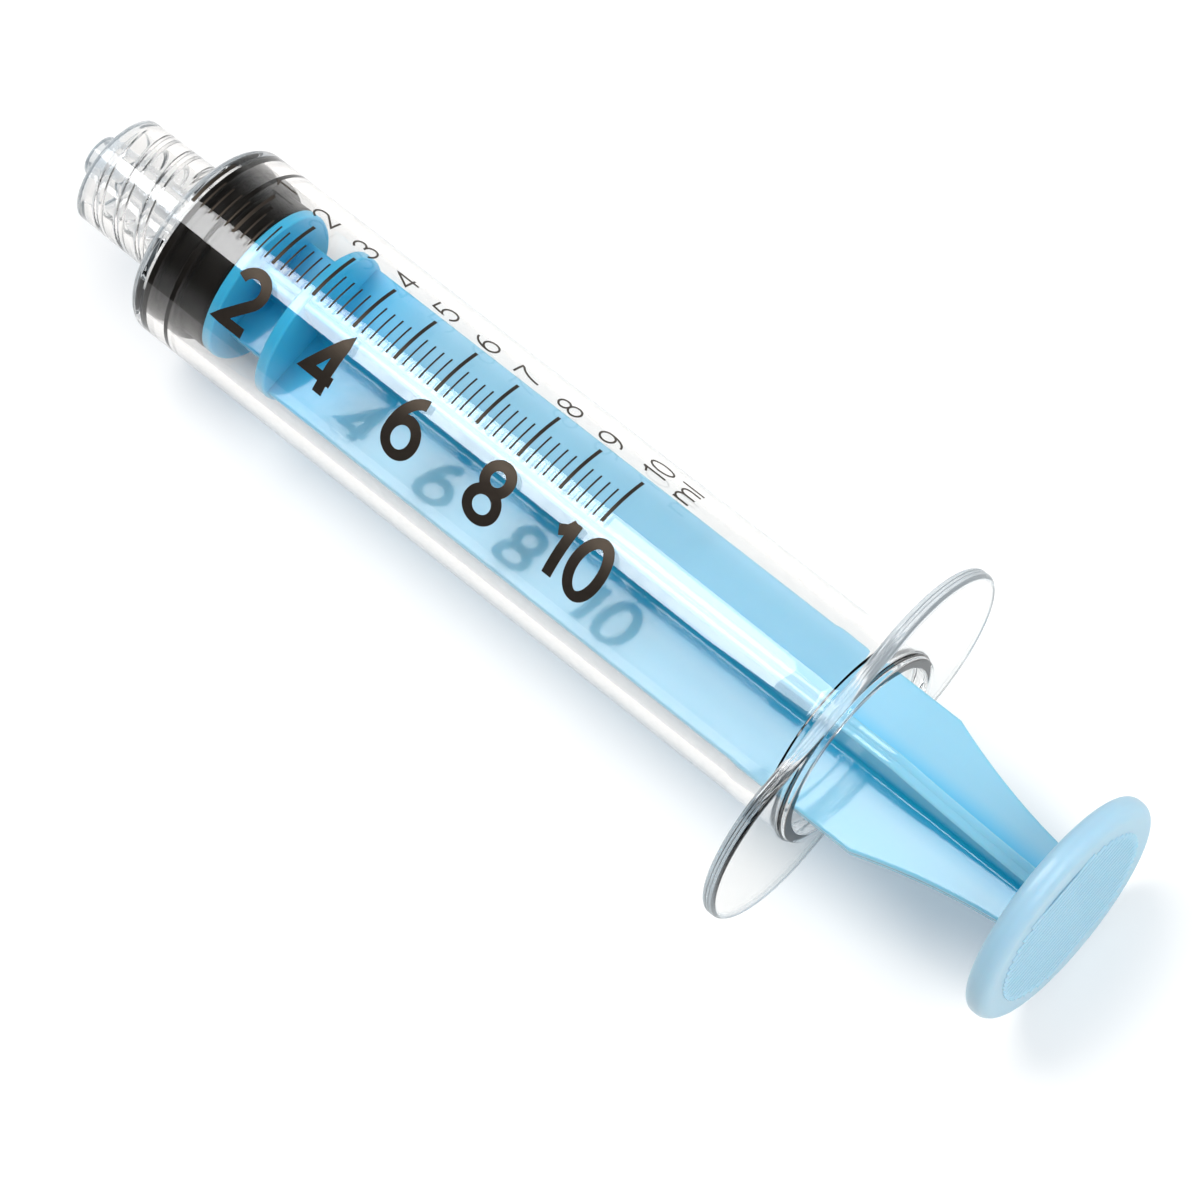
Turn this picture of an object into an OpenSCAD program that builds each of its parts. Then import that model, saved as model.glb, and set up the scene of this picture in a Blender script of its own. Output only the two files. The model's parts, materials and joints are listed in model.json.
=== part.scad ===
// Luer lock syringe: a clear moulded barrel, a black rubber stopper and a moulded plunger rod.
// The axis runs along +X from the luer tip to the thumb rest, and +Z is up.
// The origin is on the axis, in the plane of the luer collar's mouth.

/* [Barrel] */
// Inside diameter of the barrel
bore_d = 16.5; // [14:0.1:19]
// Thickness of the barrel's wall
wall = 1.2; // [0.9:0.05:1.6]
// Length from the front wall's outer face to the open end
tube_l = 75.9; // [60:0.1:110]
// Distance from the middle of the front wall's outer face to the rim of the hollow
front_wall = 1.8; // [1.4:0.1:2.6]
// How far the hollow front dips forward towards the luer channel
front_dip = 0.7; // [0.3:0.05:1]
// How far the outer front falls back from the collar to the barrel's edge
front_slope = 0.8; // [0.3:0.05:0.9]
// Radius of the barrel's front outer edge
front_round = 1.1; // [0.6:0.1:1.3]
// Distance from the open end to the crest of the ring that keeps the stopper in
ring_inset = 3.1; // [2.6:0.1:6]
// Height of that ring's crest above the bore
ring_h = 0.25; // [0.1:0.05:0.4]
// Length of the ring's gentle front slope
ring_ramp = 3.5; // [1:0.1:5]
// Width of the ring's crest, and of the steep slope behind it
ring_crest = 0.3; // [0.15:0.05:0.5]

/* [Luer lock] */
// Outer diameter of the collar at its mouth
collar_d = 10.5; // [9.6:0.1:11]
// Inside diameter of the collar, at the root of its thread
collar_bore_d = 8; // [8:0.05:8.2]
// Depth of the collar from its mouth to the barrel's front wall
collar_l = 9.4; // [7:0.1:10]
// How far the collar's radius grows towards the barrel
collar_draft = 0.1; // [0:0.05:0.3]
// Diameter of the luer cone at its tip
tip_d = 3.95; // [3.93:0.01:4.03]
// Growth of the cone's diameter for each unit of length
cone_taper_share = 0.06; // [0.06]
// How far the cone stands out of the collar
tip_reach = 2.3; // [2.1:0.1:3]
// Diameter of the channel through the cone
channel_d = 2; // [1.6:0.1:2.4]

/* [Finger flange] */
// Length across the two wings
flange_l = 36.4; // [30:0.1:42]
// Height across the flange
flange_h = 19.6; // [19.2:0.1:24]
// Thickness of the flange
flange_t = 1.3; // [1.2:0.1:2.4]
// Radius of the flange's rounded rim
flange_round = 0.4; // [0.2:0.05:0.55]
// Radius of the fillet between the barrel and the flange
root_fillet = 0.3; // [0.2:0.05:0.35]
// Height of the lip round the open end
lip_h = 0.45; // [0.2:0.05:0.8]
// Radial width of the lip's flat end
lip_w = 1; // [0.6:0.05:1.1]

/* [Stopper] */
// Length of the stopper beside the wall
stopper_l = 6; // [5:0.1:8]
// Depth of the grooves between the sealing ribs
groove_depth = 0.8; // [0.4:0.05:1]
// Width of the front sealing rib
front_rib_w = 0.8; // [0.7:0.1:1.5]
// Width of the second sealing rib
rear_rib_w = 0.8; // [0.6:0.1:1.2]
// Distance from the front edge to the second rib
rear_rib_at = 2.5; // [2.3:0.1:3]
// Gap between the stopper's rear edge and the bore
skirt_gap = 0.75; // [0.4:0.05:1.5]
// Diameter of the hollow that holds the rod's head
pocket_d = 9.2; // [8.4:0.1:10.4]
// Diameter of the hollow's throat
throat_d = 6.8; // [6.2:0.1:7.4]
// Depth of the throat
throat_l = 1.5; // [1.2:0.1:2]
// Depth of the whole hollow
pocket_depth = 4.2; // [3.8:0.1:4.4]

/* [Plunger rod] */
// Thickness of the four ribs
rib_t = 1.5; // [1.1:0.05:1.8]
// Gap between the ribs of the long shaft and the bore
shaft_gap = 1.05; // [0.7:0.05:2]
// Width across the ribs of the short neck between the two discs
neck_w = 10.6; // [9:0.1:12]
// Gap between the two discs and the bore
disc_margin = 0.75; // [0.4:0.05:1.5]
// Thickness of the front disc
front_disc_t = 1; // [0.8:0.1:1.5]
// Thickness of the second disc
rear_disc_t = 1.1; // [0.8:0.1:1.5]
// Length of the neck between the two discs
neck_l = 5.2; // [4:0.1:7]
// Length of rod that stands out of the barrel when it is pushed home
rod_reach = 22.6; // [18:0.1:35]
// Length of straight rib outside the barrel, before it narrows
straight_reach = 5; // [3:0.1:10]
// Width across the ribs where they meet the thumb rest
foot_w = 7.8; // [6.5:0.1:10]
// Hollow of the ribs' curved edge, below a straight taper
edge_hollow = 0.5; // [0.2:0.05:0.9]
// Radius of the fillet where the ribs cross at the thumb rest
foot_fillet = 0.8; // [0.4:0.1:1.2]
// How far the rod is turned in the barrel, in degrees
rod_turn = -3.5; // [-45:0.5:45]

/* [Thumb rest] */
// Diameter of the thumb rest
rest_d = 22; // [18:0.1:25]
// Thickness of the thumb rest
rest_t = 2.3; // [2:0.1:3.4]
// Radius of its rear rim
rest_round = 1.1; // [0.6:0.1:1.4]
// Radius of its front rim
rest_front_round = 0.9; // [0.4:0.1:1]
// Diameter of the ridged area
grip_d = 17; // [12:0.5:18]
// Distance from one ridge to the next
ridge_pitch = 0.75; // [0.6:0.05:1.2]
// Width of a ridge
ridge_w = 0.4; // [0.25:0.05:0.5]
// Height of a ridge
ridge_h = 0.2; // [0.1:0.05:0.3]

/* [Fits] */
// Gap between the sealing ribs and the bore
seal_gap = 0.02; // [0.01:0.01:0.05]
// Gap round the rod's head in the stopper
head_gap = 0.08; // [0.05:0.01:0.1]
// Gap between the stopper and the barrel's front wall when it is pushed home
front_gap = 0.3; // [0.2:0.05:0.5]

/* [Hidden] */
$fn = 96;

// Radii that come from the diameters above
bore_r = bore_d / 2;
tube_r = bore_r + wall;
channel_r = channel_d / 2;
rest_r = rest_d / 2;
disc_r = bore_r - disc_margin;
skirt_r = bore_r - skirt_gap;
shaft_r = bore_r - shaft_gap;
seal_r = bore_r - seal_gap;
lip_r = bore_r + ring_h + lip_w;

// Places along the axis
face_x = collar_l;
mouth_x = collar_l + tube_l;
flange_back_x = mouth_x - lip_h;
flange_front_x = flange_back_x - flange_t;
floor_x = face_x + front_wall;
zero_x = floor_x + front_gap;
ring_x = mouth_x - ring_inset;
stopper_back_x = zero_x + stopper_l;
disc_x = stopper_back_x + head_gap;
disc_back_x = disc_x + front_disc_t;
disc2_x = disc_back_x + neck_l;
taper_x = mouth_x + straight_reach;
rest_back_x = mouth_x + rod_reach;
rest_x = rest_back_x - rest_t;

// Overrun of one solid into the next, a share of the wall
bite = wall / 4;

// Points of a circular arc, from angle a to angle b
function arc(cx, cy, r, a, b, steps) =
    [for (i = [0:steps]) [cx + r * cos(a + (b - a) * i / steps), cy + r * sin(a + (b - a) * i / steps)]];

// Turns what stands on +Z so that it points along +X
module along_x() {
    rotate([0, 90, 0]) children();
}

// Revolves an outline of radius and place along the axis
module turned(outline) {
    along_x() rotate_extrude() polygon(outline);
}

// Outer radius of the luer cone at a place along the axis
function cone_r(x) = (tip_d + cone_taper_share * (x + tip_reach)) / 2;

// Radius of the cone's softened tip
tip_round = (tip_d - channel_d) / 16;

// The luer cone, from its tip to the front wall
module luer_cone() {
    turned(concat(
        [[0, -tip_reach]],
        arc(cone_r(-tip_reach) - tip_round, tip_round - tip_reach, tip_round, -90, 0, 4),
        [[cone_r(face_x + bite), face_x + bite], [0, face_x + bite]]
    ));
}

// The collar round the cone, with a rounded mouth
module luer_collar() {
    mouth_round = (collar_d - collar_bore_d) / 14;
    inner = collar_bore_d / 2;
    outer = collar_d / 2;
    turned(concat(
        arc(inner + mouth_round, mouth_round, mouth_round, 180, 270, 4),
        arc(outer - mouth_round, mouth_round, mouth_round, 270, 360, 4),
        [[outer + collar_draft, face_x + bite], [inner, face_x + bite]]
    ));
}

// The tube as a solid bar, with its sloped and rounded front and the lip at its open end
module tube_bar() {
    lip_round = lip_h / 3;
    turned(concat(
        [[0, face_x], [collar_d / 2 + collar_draft, face_x]],
        arc(tube_r - front_round, face_x + front_slope + front_round, front_round, -90, 0, 8),
        arc(tube_r + root_fillet, flange_front_x - root_fillet, root_fillet, 180, 90, 6),
        [[tube_r + root_fillet, flange_front_x + flange_t / 2], [lip_r, flange_front_x + flange_t / 2]],
        arc(lip_r - lip_round, mouth_x - lip_round, lip_round, 0, 90, 4),
        [[0, mouth_x]]
    ));
}

// The hollow inside: dipped front, straight bore, keeper ring with its long front slope, and widened end
module bore_cut() {
    ring_r = bore_r - ring_h;
    ring_end_x = ring_x + 2 * ring_crest;
    over_x = mouth_x + wall;
    turned([
        [0, floor_x - front_dip],
        [channel_r, floor_x - front_dip],
        [bore_r - front_dip / 2, floor_x],
        [bore_r, floor_x + front_dip / 2],
        [bore_r, ring_x - ring_ramp],
        [ring_r, ring_x],
        [ring_r, ring_x + ring_crest],
        [bore_r, ring_end_x],
        [bore_r + ring_h, (ring_end_x + mouth_x) / 2],
        [bore_r + ring_h, over_x],
        [0, over_x]
    ]);
}

// Half the flange's cross-section, from its middle out to its rounded rim
function flange_edge(reach) = concat(
    [[0, flange_front_x]],
    arc(reach - flange_round, flange_front_x + flange_round, flange_round, -90, 0, 5),
    arc(reach - flange_round, flange_back_x - flange_round, flange_round, 0, 90, 5),
    [[0, flange_back_x]]
);

// The finger flange: two round wings joined by a straight slab with the same rim
module finger_flange() {
    end_r = flange_h / 2;
    end_y = flange_l / 2 - end_r;
    edge = flange_edge(end_r);
    both = concat(edge, [for (i = [len(edge) - 1:-1:0]) [-edge[i][0], edge[i][1]]]);
    for (side = [-1, 1]) {
        translate([0, side * end_y, 0]) turned(edge);
    }
    rotate([90, 0, 0]) linear_extrude(2 * end_y, center = true)
        polygon([for (p = both) [p[1], p[0]]]);
}

module barrel() {
    color([0.86, 0.9, 0.94, 0.45]) difference() {
        union() {
            tube_bar();
            finger_flange();
            luer_collar();
            luer_cone();
        }
        bore_cut();
        translate([-tip_reach - wall, 0, 0])
            along_x() cylinder(h = floor_x + tip_reach + wall, r = channel_r);
    }
}

// The stopper: a dipped front, two sealing ribs, a skirt and the hollow for the rod's head
module stopper() {
    body_r = seal_r - groove_depth;
    soft = front_rib_w / 5;
    slope = groove_depth / 4;
    rib2_x = zero_x + rear_rib_at;
    pocket_r = pocket_d / 2;
    throat_r = throat_d / 2;
    throat_x = stopper_back_x - throat_l;
    pocket_x = stopper_back_x - pocket_depth;
    nose_r = pocket_r * 2 / 3;
    outline = concat(
        [[0, zero_x - front_dip], [channel_r, zero_x - front_dip]],
        [[seal_r - front_dip / 2 - soft, zero_x]],
        arc(seal_r - soft, zero_x + soft, soft, -90, 0, 4),
        [[seal_r, zero_x + front_rib_w - slope], [body_r, zero_x + front_rib_w + slope]],
        [[body_r, rib2_x - slope], [seal_r, rib2_x + slope]],
        [[seal_r, rib2_x + rear_rib_w - slope], [body_r, rib2_x + rear_rib_w + slope]],
        [[skirt_r, stopper_back_x - soft], [skirt_r - soft, stopper_back_x]],
        [[throat_r + soft, stopper_back_x], [throat_r, stopper_back_x - soft]],
        [[throat_r, throat_x], [pocket_r, throat_x - soft]],
        [[pocket_r, pocket_x + (pocket_r - nose_r) / 2], [nose_r, pocket_x], [0, pocket_x]]
    );
    color([0.13, 0.12, 0.11]) turned(outline);
}

// The rod's head: a neck and a mushroom that snaps into the stopper
module rod_head() {
    soft = front_rib_w / 5;
    head_r = pocket_d / 2 - head_gap;
    neck_r = throat_d / 2 - head_gap;
    throat_x = stopper_back_x - throat_l;
    pocket_x = stopper_back_x - pocket_depth + head_gap;
    nose_r = head_r * 2 / 3;
    turned([
        [0, pocket_x],
        [nose_r, pocket_x],
        [head_r, pocket_x + (head_r - nose_r) / 2 + head_gap],
        [head_r, throat_x - soft - head_gap],
        [neck_r, throat_x - head_gap],
        [neck_r, disc_x + bite],
        [0, disc_x + bite]
    ]);
}

// A disc across the rod, with softened rims
module rod_disc(x, thick) {
    soft = thick / 5;
    turned([
        [0, x],
        [disc_r - soft, x],
        [disc_r, x + soft],
        [disc_r, x + thick - soft],
        [disc_r - soft, x + thick],
        [0, x + thick]
    ]);
}

// Outline of one pair of ribs of the shaft, seen from the side
function shaft_outline() =
    let (
        foot = foot_w / 2,
        run = rest_x - taper_x,
        drop = shaft_r - foot,
        steps = 12,
        upper = concat(
            [[disc2_x + rear_disc_t / 2, shaft_r]],
            [for (i = [0:steps])
                let (s = i / steps)
                [taper_x + run * s, shaft_r - drop * s - 4 * edge_hollow * s * (1 - s)]
            ],
            [[rest_x + rest_t / 2, foot]]
        )
    )
    concat(upper, [for (i = [len(upper) - 1:-1:0]) [upper[i][0], -upper[i][1]]]);

// The cross-shaped shaft, from the second disc to the thumb rest
module shaft() {
    for (turn = [0, 90]) {
        rotate([turn, 0, 0]) linear_extrude(rib_t, center = true) polygon(shaft_outline());
    }
    // Fillet at the foot of the ribs, a ring that blends the core into the thumb rest
    core_r = rib_t * sqrt(2) / 2;
    turned(concat(
        [[0, rest_x - foot_fillet]],
        arc(core_r + foot_fillet, rest_x - foot_fillet, foot_fillet, 180, 90, 5),
        [[core_r + foot_fillet, rest_x + bite], [0, rest_x + bite]]
    ));
}

// The short cross-shaped neck between the two discs
module neck() {
    length = neck_l + 2 * bite;
    for (turn = [0, 90]) {
        translate([disc_back_x - bite, 0, 0]) rotate([turn, 0, 0])
            translate([0, -neck_w / 2, -rib_t / 2]) cube([length, neck_w, rib_t]);
    }
}

// The thumb rest: a disc with rounded rims and parallel ridges on its outer face
module thumb_rest() {
    turned(concat(
        [[0, rest_x]],
        arc(rest_r - rest_front_round, rest_x + rest_front_round, rest_front_round, -90, 0, 6),
        arc(rest_r - rest_round, rest_back_x - rest_round, rest_round, 0, 90, 8),
        [[0, rest_back_x]]
    ));
    count = floor(grip_d / 2 / ridge_pitch - ridge_w / ridge_pitch);
    for (i = [-count:count]) {
        z = i * ridge_pitch;
        span = 2 * sqrt(pow(grip_d / 2, 2) - z * z);
        translate([rest_back_x - bite, -span / 2, z - ridge_w / 2]) cube([ridge_h + bite, span, ridge_w]);
    }
}

module plunger_rod() {
    color([0.55, 0.81, 0.92]) rotate([rod_turn, 0, 0]) union() {
        rod_head();
        rod_disc(disc_x, front_disc_t);
        neck();
        rod_disc(disc2_x, rear_disc_t);
        shaft();
        thumb_rest();
    }
}

barrel();
stopper();
plunger_rod();
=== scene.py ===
# %% [markdown]
# # A luer lock syringe, dressed for its portrait
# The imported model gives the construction: a barrel, a stopper and a plunger rod that slide in each other.
# This file gives the looks. It loads that model as a fixed frame, then makes a smooth mesh for each piece
# in the same place, prints the scale on the barrel, mixes the four finishes and sets up the light and the
# camera. All lengths below are in millimetres, because that is how such a product is drawn, and one
# factor turns them into Blender's metres at the moment when a mesh is made.

# %% The fixed frame
import json
import math

import bmesh
import bpy
from mathutils import Matrix, Vector


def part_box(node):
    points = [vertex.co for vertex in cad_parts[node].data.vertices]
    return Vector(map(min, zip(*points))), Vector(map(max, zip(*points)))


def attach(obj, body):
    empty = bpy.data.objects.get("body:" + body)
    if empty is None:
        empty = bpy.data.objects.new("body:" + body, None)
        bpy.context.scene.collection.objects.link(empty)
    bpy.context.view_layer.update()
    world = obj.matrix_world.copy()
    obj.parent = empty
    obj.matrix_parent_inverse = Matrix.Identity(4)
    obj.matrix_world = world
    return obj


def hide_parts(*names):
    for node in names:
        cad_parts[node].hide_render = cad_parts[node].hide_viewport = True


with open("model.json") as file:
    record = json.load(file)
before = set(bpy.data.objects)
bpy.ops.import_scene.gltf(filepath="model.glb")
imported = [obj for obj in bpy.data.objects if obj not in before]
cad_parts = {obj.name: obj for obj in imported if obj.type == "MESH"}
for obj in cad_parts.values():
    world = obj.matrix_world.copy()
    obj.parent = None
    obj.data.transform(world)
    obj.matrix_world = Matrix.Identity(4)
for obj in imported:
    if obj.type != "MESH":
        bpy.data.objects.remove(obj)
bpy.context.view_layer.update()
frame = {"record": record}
MM = 0.001

# %% [markdown]
# ## Sizes
# The real syringe is drawn once, and every mould follows that drawing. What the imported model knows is
# read from it: the mounts carry the luer sizes and the barrel's radius, and the boxes of the nodes carry
# the places. They could be typed in again here, but then the looks would drift from the construction when
# a size changes. Only the sizes that no mount or box states are written down, once each, where they are
# first needed.

# %% Sizes from the frame
mounts = {m["name"]: m for m in frame["record"]["mounts"]}
barrel_box = [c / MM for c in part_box("barrel")]
stopper_box = [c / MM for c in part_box("stopper")]
rod_box = [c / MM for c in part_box("plunger_rod")]

TUBE_R = mounts["barrel_grip"]["dims"]["r_mm"]
COLLAR_BORE_R = mounts["luer_lock"]["dims"]["r_mm"]
FACE_X = mounts["luer_lock"]["dims"]["length_mm"]
TIP_R = mounts["luer_cone"]["dims"]["r_mm"]
TIP_X = barrel_box[0].x
MOUTH_X = barrel_box[1].x
FLANGE_X = mounts["flange_front"]["pos_m"][0] / MM
FLANGE_BACK_X = mounts["flange_back"]["pos_m"][0] / MM
FLANGE_Y = barrel_box[1].y
FLANGE_Z = barrel_box[1].z
SEAL_R = stopper_box[1].y
STOPPER_NOSE_X = stopper_box[0].x
STOPPER_BACK_X = stopper_box[1].x
REST_R = rod_box[1].y
print("barrel radius", TUBE_R, "flange", round(2 * FLANGE_Y, 2), "by", round(2 * FLANGE_Z, 2))

# %% Sizes that several pieces share
WALL = 1.2
BORE_R = TUBE_R - WALL
FRONT_T = 1.8
FLOOR_X = FACE_X + FRONT_T
FRONT_DIP = 0.7
FRONT_SLOPE = 0.8
FRONT_ROUND = 1.1
ZERO_X = STOPPER_NOSE_X + FRONT_DIP
DISC_X = STOPPER_BACK_X + 0.08
FRONT_DISC_T = 1.0
NECK_LENGTH = 5.2
REAR_DISC_X = DISC_X + FRONT_DISC_T + NECK_LENGTH
REST_OUT = 22.6
REST_T = 2.3
REST_BACK_X = MOUTH_X + REST_OUT
REST_X = REST_BACK_X - REST_T
GRIP_R = 8.5
ROD_TURN = math.radians(-3.5)
print("bore radius", BORE_R, "zero line at", round(ZERO_X, 2), "thumb rest at", round(REST_X, 2))

# %% [markdown]
# ## Mesh helpers
# Nearly every surface of a syringe is turned on a lathe or drawn along a line. Blender's own cylinders
# and modifiers could be stacked up to that, but clear plastic shows every bump, so the meshes are built
# from points. A few small helpers carry the modelling: an arc, a straight run, a profile of both, and its
# turned net. A straight run keeps one extra point close to each end. Smooth shading averages the normals
# at a ring, and without those points the softness of a small round would leak along the whole length of
# the tube and bend the light in clear plastic. Points closer than SAME count as one, and a flat end has a
# ring at POLE_R, so that the fan of triangles at its pole stays small.

# %% Arcs and straight runs
HOLD = 0.12
LARGEST_SHARE = 0.3
SAME = 1e-4
POLE_R = 1.0


def arc(x, r, radius, start, end, steps):
    """Points of a circular arc in the plane of axis place and radius, angles in degrees."""
    turns = [math.radians(start + (end - start) * i / steps) for i in range(steps + 1)]
    return [(x + radius * math.cos(a), r + radius * math.sin(a)) for a in turns]


def straight(a, b):
    """The two points close to the ends of a straight run that hold the shading."""
    share = min(HOLD / math.dist(a, b), LARGEST_SHARE)
    near = tuple(p + (q - p) * share for p, q in zip(a, b))
    far = tuple(q + (p - q) * share for p, q in zip(a, b))
    return [near, far]


def joined_profile(*pieces):
    """Strings arcs and points into one profile and holds each straight run over four holds long."""
    points = []
    for piece in pieces:
        piece = piece if isinstance(piece, list) else [piece]
        if points and math.dist(points[-1], piece[0]) > 4 * HOLD:
            points += straight(points[-1], piece[0])
        points += [p for p in piece if not points or math.dist(points[-1], p) > SAME]
    return points


print("a straight run keeps a point", HOLD, "mm from each end")

# %% Pieces and turned nets
TURN_SEGMENTS = 192


def new_piece(name, vertices, faces, material, smooth=True):
    """A mesh object at the origin from points in millimetres, with its normals pointing outwards."""
    mesh = bpy.data.meshes.new(name)
    mesh.from_pydata([Vector(v) * MM for v in vertices], [], faces)
    net = bmesh.new()
    net.from_mesh(mesh)
    bmesh.ops.remove_doubles(net, verts=net.verts, dist=SAME * MM)
    bmesh.ops.recalc_face_normals(net, faces=net.faces)
    net.to_mesh(mesh)
    net.free()
    for face in mesh.polygons:
        face.use_smooth = smooth
    mesh.materials.append(material)
    piece = bpy.data.objects.new(name, mesh)
    bpy.context.scene.collection.objects.link(piece)
    return piece


def turned(profile, segments=TURN_SEGMENTS):
    """Vertices and faces of a profile of (place, radius) points turned round X, closed at both poles."""
    vertices, rings = [], []
    for x, r in profile:
        if r < SAME:
            rings.append([len(vertices)] * segments)
            vertices.append((x, 0, 0))
        else:
            rings.append([len(vertices) + i for i in range(segments)])
            turns = [2 * math.pi * i / segments for i in range(segments)]
            vertices += [(x, r * math.cos(a), r * math.sin(a)) for a in turns]
    faces = []
    for one, two in zip(rings, rings[1:]):
        for i in range(segments):
            j = (i + 1) % segments
            corners = list(dict.fromkeys([one[i], one[j], two[j], two[i]]))
            if len(corners) > 2:
                faces.append(corners)
    return vertices, faces


print("turned nets have", TURN_SEGMENTS, "segments unless a piece asks for fewer")

# %% [markdown]
# ## Node helpers
# Finishes and repeated shapes are trees of nodes. They could be wired by hand, socket by socket, but they
# read best as sums. `Wire` wraps an output socket and overloads Python's operators, so that the line
# `1 - mask * 0.3` adds its Math nodes itself. `Tree.add` is the one way to any other node: its type, its
# settings, and then the values or wires of its inputs. The same two classes serve shaders and Geometry
# Nodes.

# %% Wires


class Wire:
    """An output socket of a node tree that takes part in Python sums."""

    def __init__(self, tree, socket):
        self.tree = tree
        self.socket = socket

    def _math(self, operation, *values):
        return self.tree.add("ShaderNodeMath", {"operation": operation}, *values)

    def __add__(self, other):
        return self._math("ADD", self, other)

    def __radd__(self, other):
        return self._math("ADD", other, self)

    def __sub__(self, other):
        return self._math("SUBTRACT", self, other)

    def __rsub__(self, other):
        return self._math("SUBTRACT", other, self)

    def __mul__(self, other):
        return self._math("MULTIPLY", self, other)

    def __rmul__(self, other):
        return self._math("MULTIPLY", other, self)

    def __truediv__(self, other):
        return self._math("DIVIDE", self, other)

    def __rtruediv__(self, other):
        return self._math("DIVIDE", other, self)


print("wires add, subtract, multiply and divide")

# %% Trees


class Tree:
    """Adds nodes to a shader or geometry tree."""

    def __init__(self, node_tree):
        self.nodes = node_tree.nodes
        self.links = node_tree.links

    def plug(self, socket, value):
        if isinstance(value, Wire):
            self.links.new(value.socket, socket)
        elif value is not None:
            socket.default_value = value

    def make(self, kind, settings=None, *values, **named):
        """Adds a node and returns it. Unnamed values fill the inputs in their order, None skips one."""
        node = self.nodes.new(kind)
        for key, value in (settings or {}).items():
            setattr(node, key, value)
        for socket, value in zip(node.inputs, values):
            self.plug(socket, value)
        for key, value in named.items():
            self.plug(node.inputs[key.replace("_", " ")], value)
        return node

    def add(self, kind, settings=None, *values, output=0, **named):
        """Adds a node and returns one of its outputs as a wire."""
        return Wire(self, self.make(kind, settings, *values, **named).outputs[output])


print("trees serve shaders and Geometry Nodes")

# %% Nodes that are used often


def mix_colours(tree, share, one, two):
    """A colour between two others, by a share from 0 to 1."""
    node = tree.make("ShaderNodeMix", {"data_type": "RGBA"})
    tree.plug(node.inputs["Factor"], share)
    tree.plug(node.inputs["A"], one)
    tree.plug(node.inputs["B"], two)
    return Wire(tree, node.outputs["Result"])


def larger(tree, one, two):
    """The larger of two values."""
    return tree.add("ShaderNodeMath", {"operation": "MAXIMUM"}, one, two)


def root(tree, value):
    """The square root of a value."""
    return tree.add("ShaderNodeMath", {"operation": "SQRT"}, value)


print("helpers for colours, larger values and roots")

# %% [markdown]
# ## Finishes
# Four materials make the whole syringe. Every one reads Object coordinates, which for these pieces are
# metres in the syringe's own frame, so a pattern stays on its piece when the rod moves. Painted textures
# could do the same, but a pattern that is worked out has no seam and no limit of resolution. `rise` and
# `fall` mark a zone along an axis or a radius, in millimetres, and zones multiply to smaller ones.

# %% Ground work for a finish


def new_material(name):
    """An empty material, its tree and its output node."""
    material = bpy.data.materials.new(name)
    material.use_nodes = True
    material.node_tree.nodes.clear()
    tree = Tree(material.node_tree)
    out = tree.make("ShaderNodeOutputMaterial")
    return material, tree, out


def noise(tree, cell, detail, squeeze=(1, 1, 1)):
    """Noise with cells so many millimetres wide. Along its axis a squeeze under 1 draws them out."""
    place = tree.add("ShaderNodeTexCoord", output="Object")
    scaled = tree.add("ShaderNodeMapping", {"vector_type": "POINT"}, Vector=place, Scale=squeeze)
    return tree.add("ShaderNodeTexNoise", {}, Vector=scaled, Scale=1 / (cell * MM), Detail=detail)


def own_place(tree):
    """The three Object coordinates as wires, turned back with the rod's roll."""
    place = tree.add("ShaderNodeTexCoord", output="Object")
    own = tree.add("ShaderNodeMapping", {"vector_type": "POINT"}, Vector=place, Rotation=(-ROD_TURN, 0, 0))
    parts = tree.make("ShaderNodeSeparateXYZ", {}, own)
    return [Wire(tree, parts.outputs[axis]) for axis in "XYZ"]


def stepped(tree, value, low, high, start=0.0, end=1.0):
    """A value that runs smoothly from start to end while another runs from low to high."""
    smooth = {"interpolation_type": "SMOOTHSTEP"}
    ends = {"From_Min": low, "From_Max": high, "To_Min": start, "To_Max": end}
    return tree.add("ShaderNodeMapRange", smooth, value, **ends)


def rise(tree, value, low, high):
    """0 up to one place and 1 past another, both in millimetres."""
    return stepped(tree, value, low * MM, high * MM)


def fall(tree, value, low, high):
    """1 up to one place and 0 past another, both in millimetres."""
    return stepped(tree, value, low * MM, high * MM, 1.0, 0.0)


PLASTIC_IOR = 1.5
print("all finishes bend light by", PLASTIC_IOR)

# %% [markdown]
# ### Clear polished plastic
# The barrel is moulded from a clear plastic in a polished tool. A half transparent shader would be quick,
# but it bends no light and looks like film. So it is real glass to the renderer: the light bends where it
# goes in and out of the wall, which draws the bright and dark lines along the edges. Light that only
# passes on its way to something else, a shadow ray or a diffuse bounce, goes straight through a faintly
# tinted transparent shader. This leaves out the caustics, which a plain path tracer only finds as noise,
# and the rod inside is lit cleanly. Fine flow lines along the barrel and a soft unevenness keep it from
# looking like a computed cylinder. Where the melt chills first or the tool parts, the real plastic is
# less clear: fine lines run across the axis on the flange and the shoulder, and a thin milky veil lies on
# the flange's rim, the shoulder and the collar's mouth.

# %% Zones of the barrel
FLANGE_FRONT_SPAN = (FLANGE_X - 0.1, FLANGE_X)
FLANGE_BACK_SPAN = (FLANGE_BACK_X, FLANGE_BACK_X + 0.1)
SHOULDER_FRONT_SPAN = (FACE_X - 0.1, FACE_X + 0.1)
SHOULDER_BACK_SPAN = (FACE_X + 1.2, FACE_X + 2.0)
SHOULDER_R_SPAN = (BORE_R - 0.9, BORE_R - 0.2)
RIM_SPAN = (FLANGE_Z - 0.6, FLANGE_Z - 0.2)
MOUTH_SPAN = (0.2, 0.8)


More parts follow.
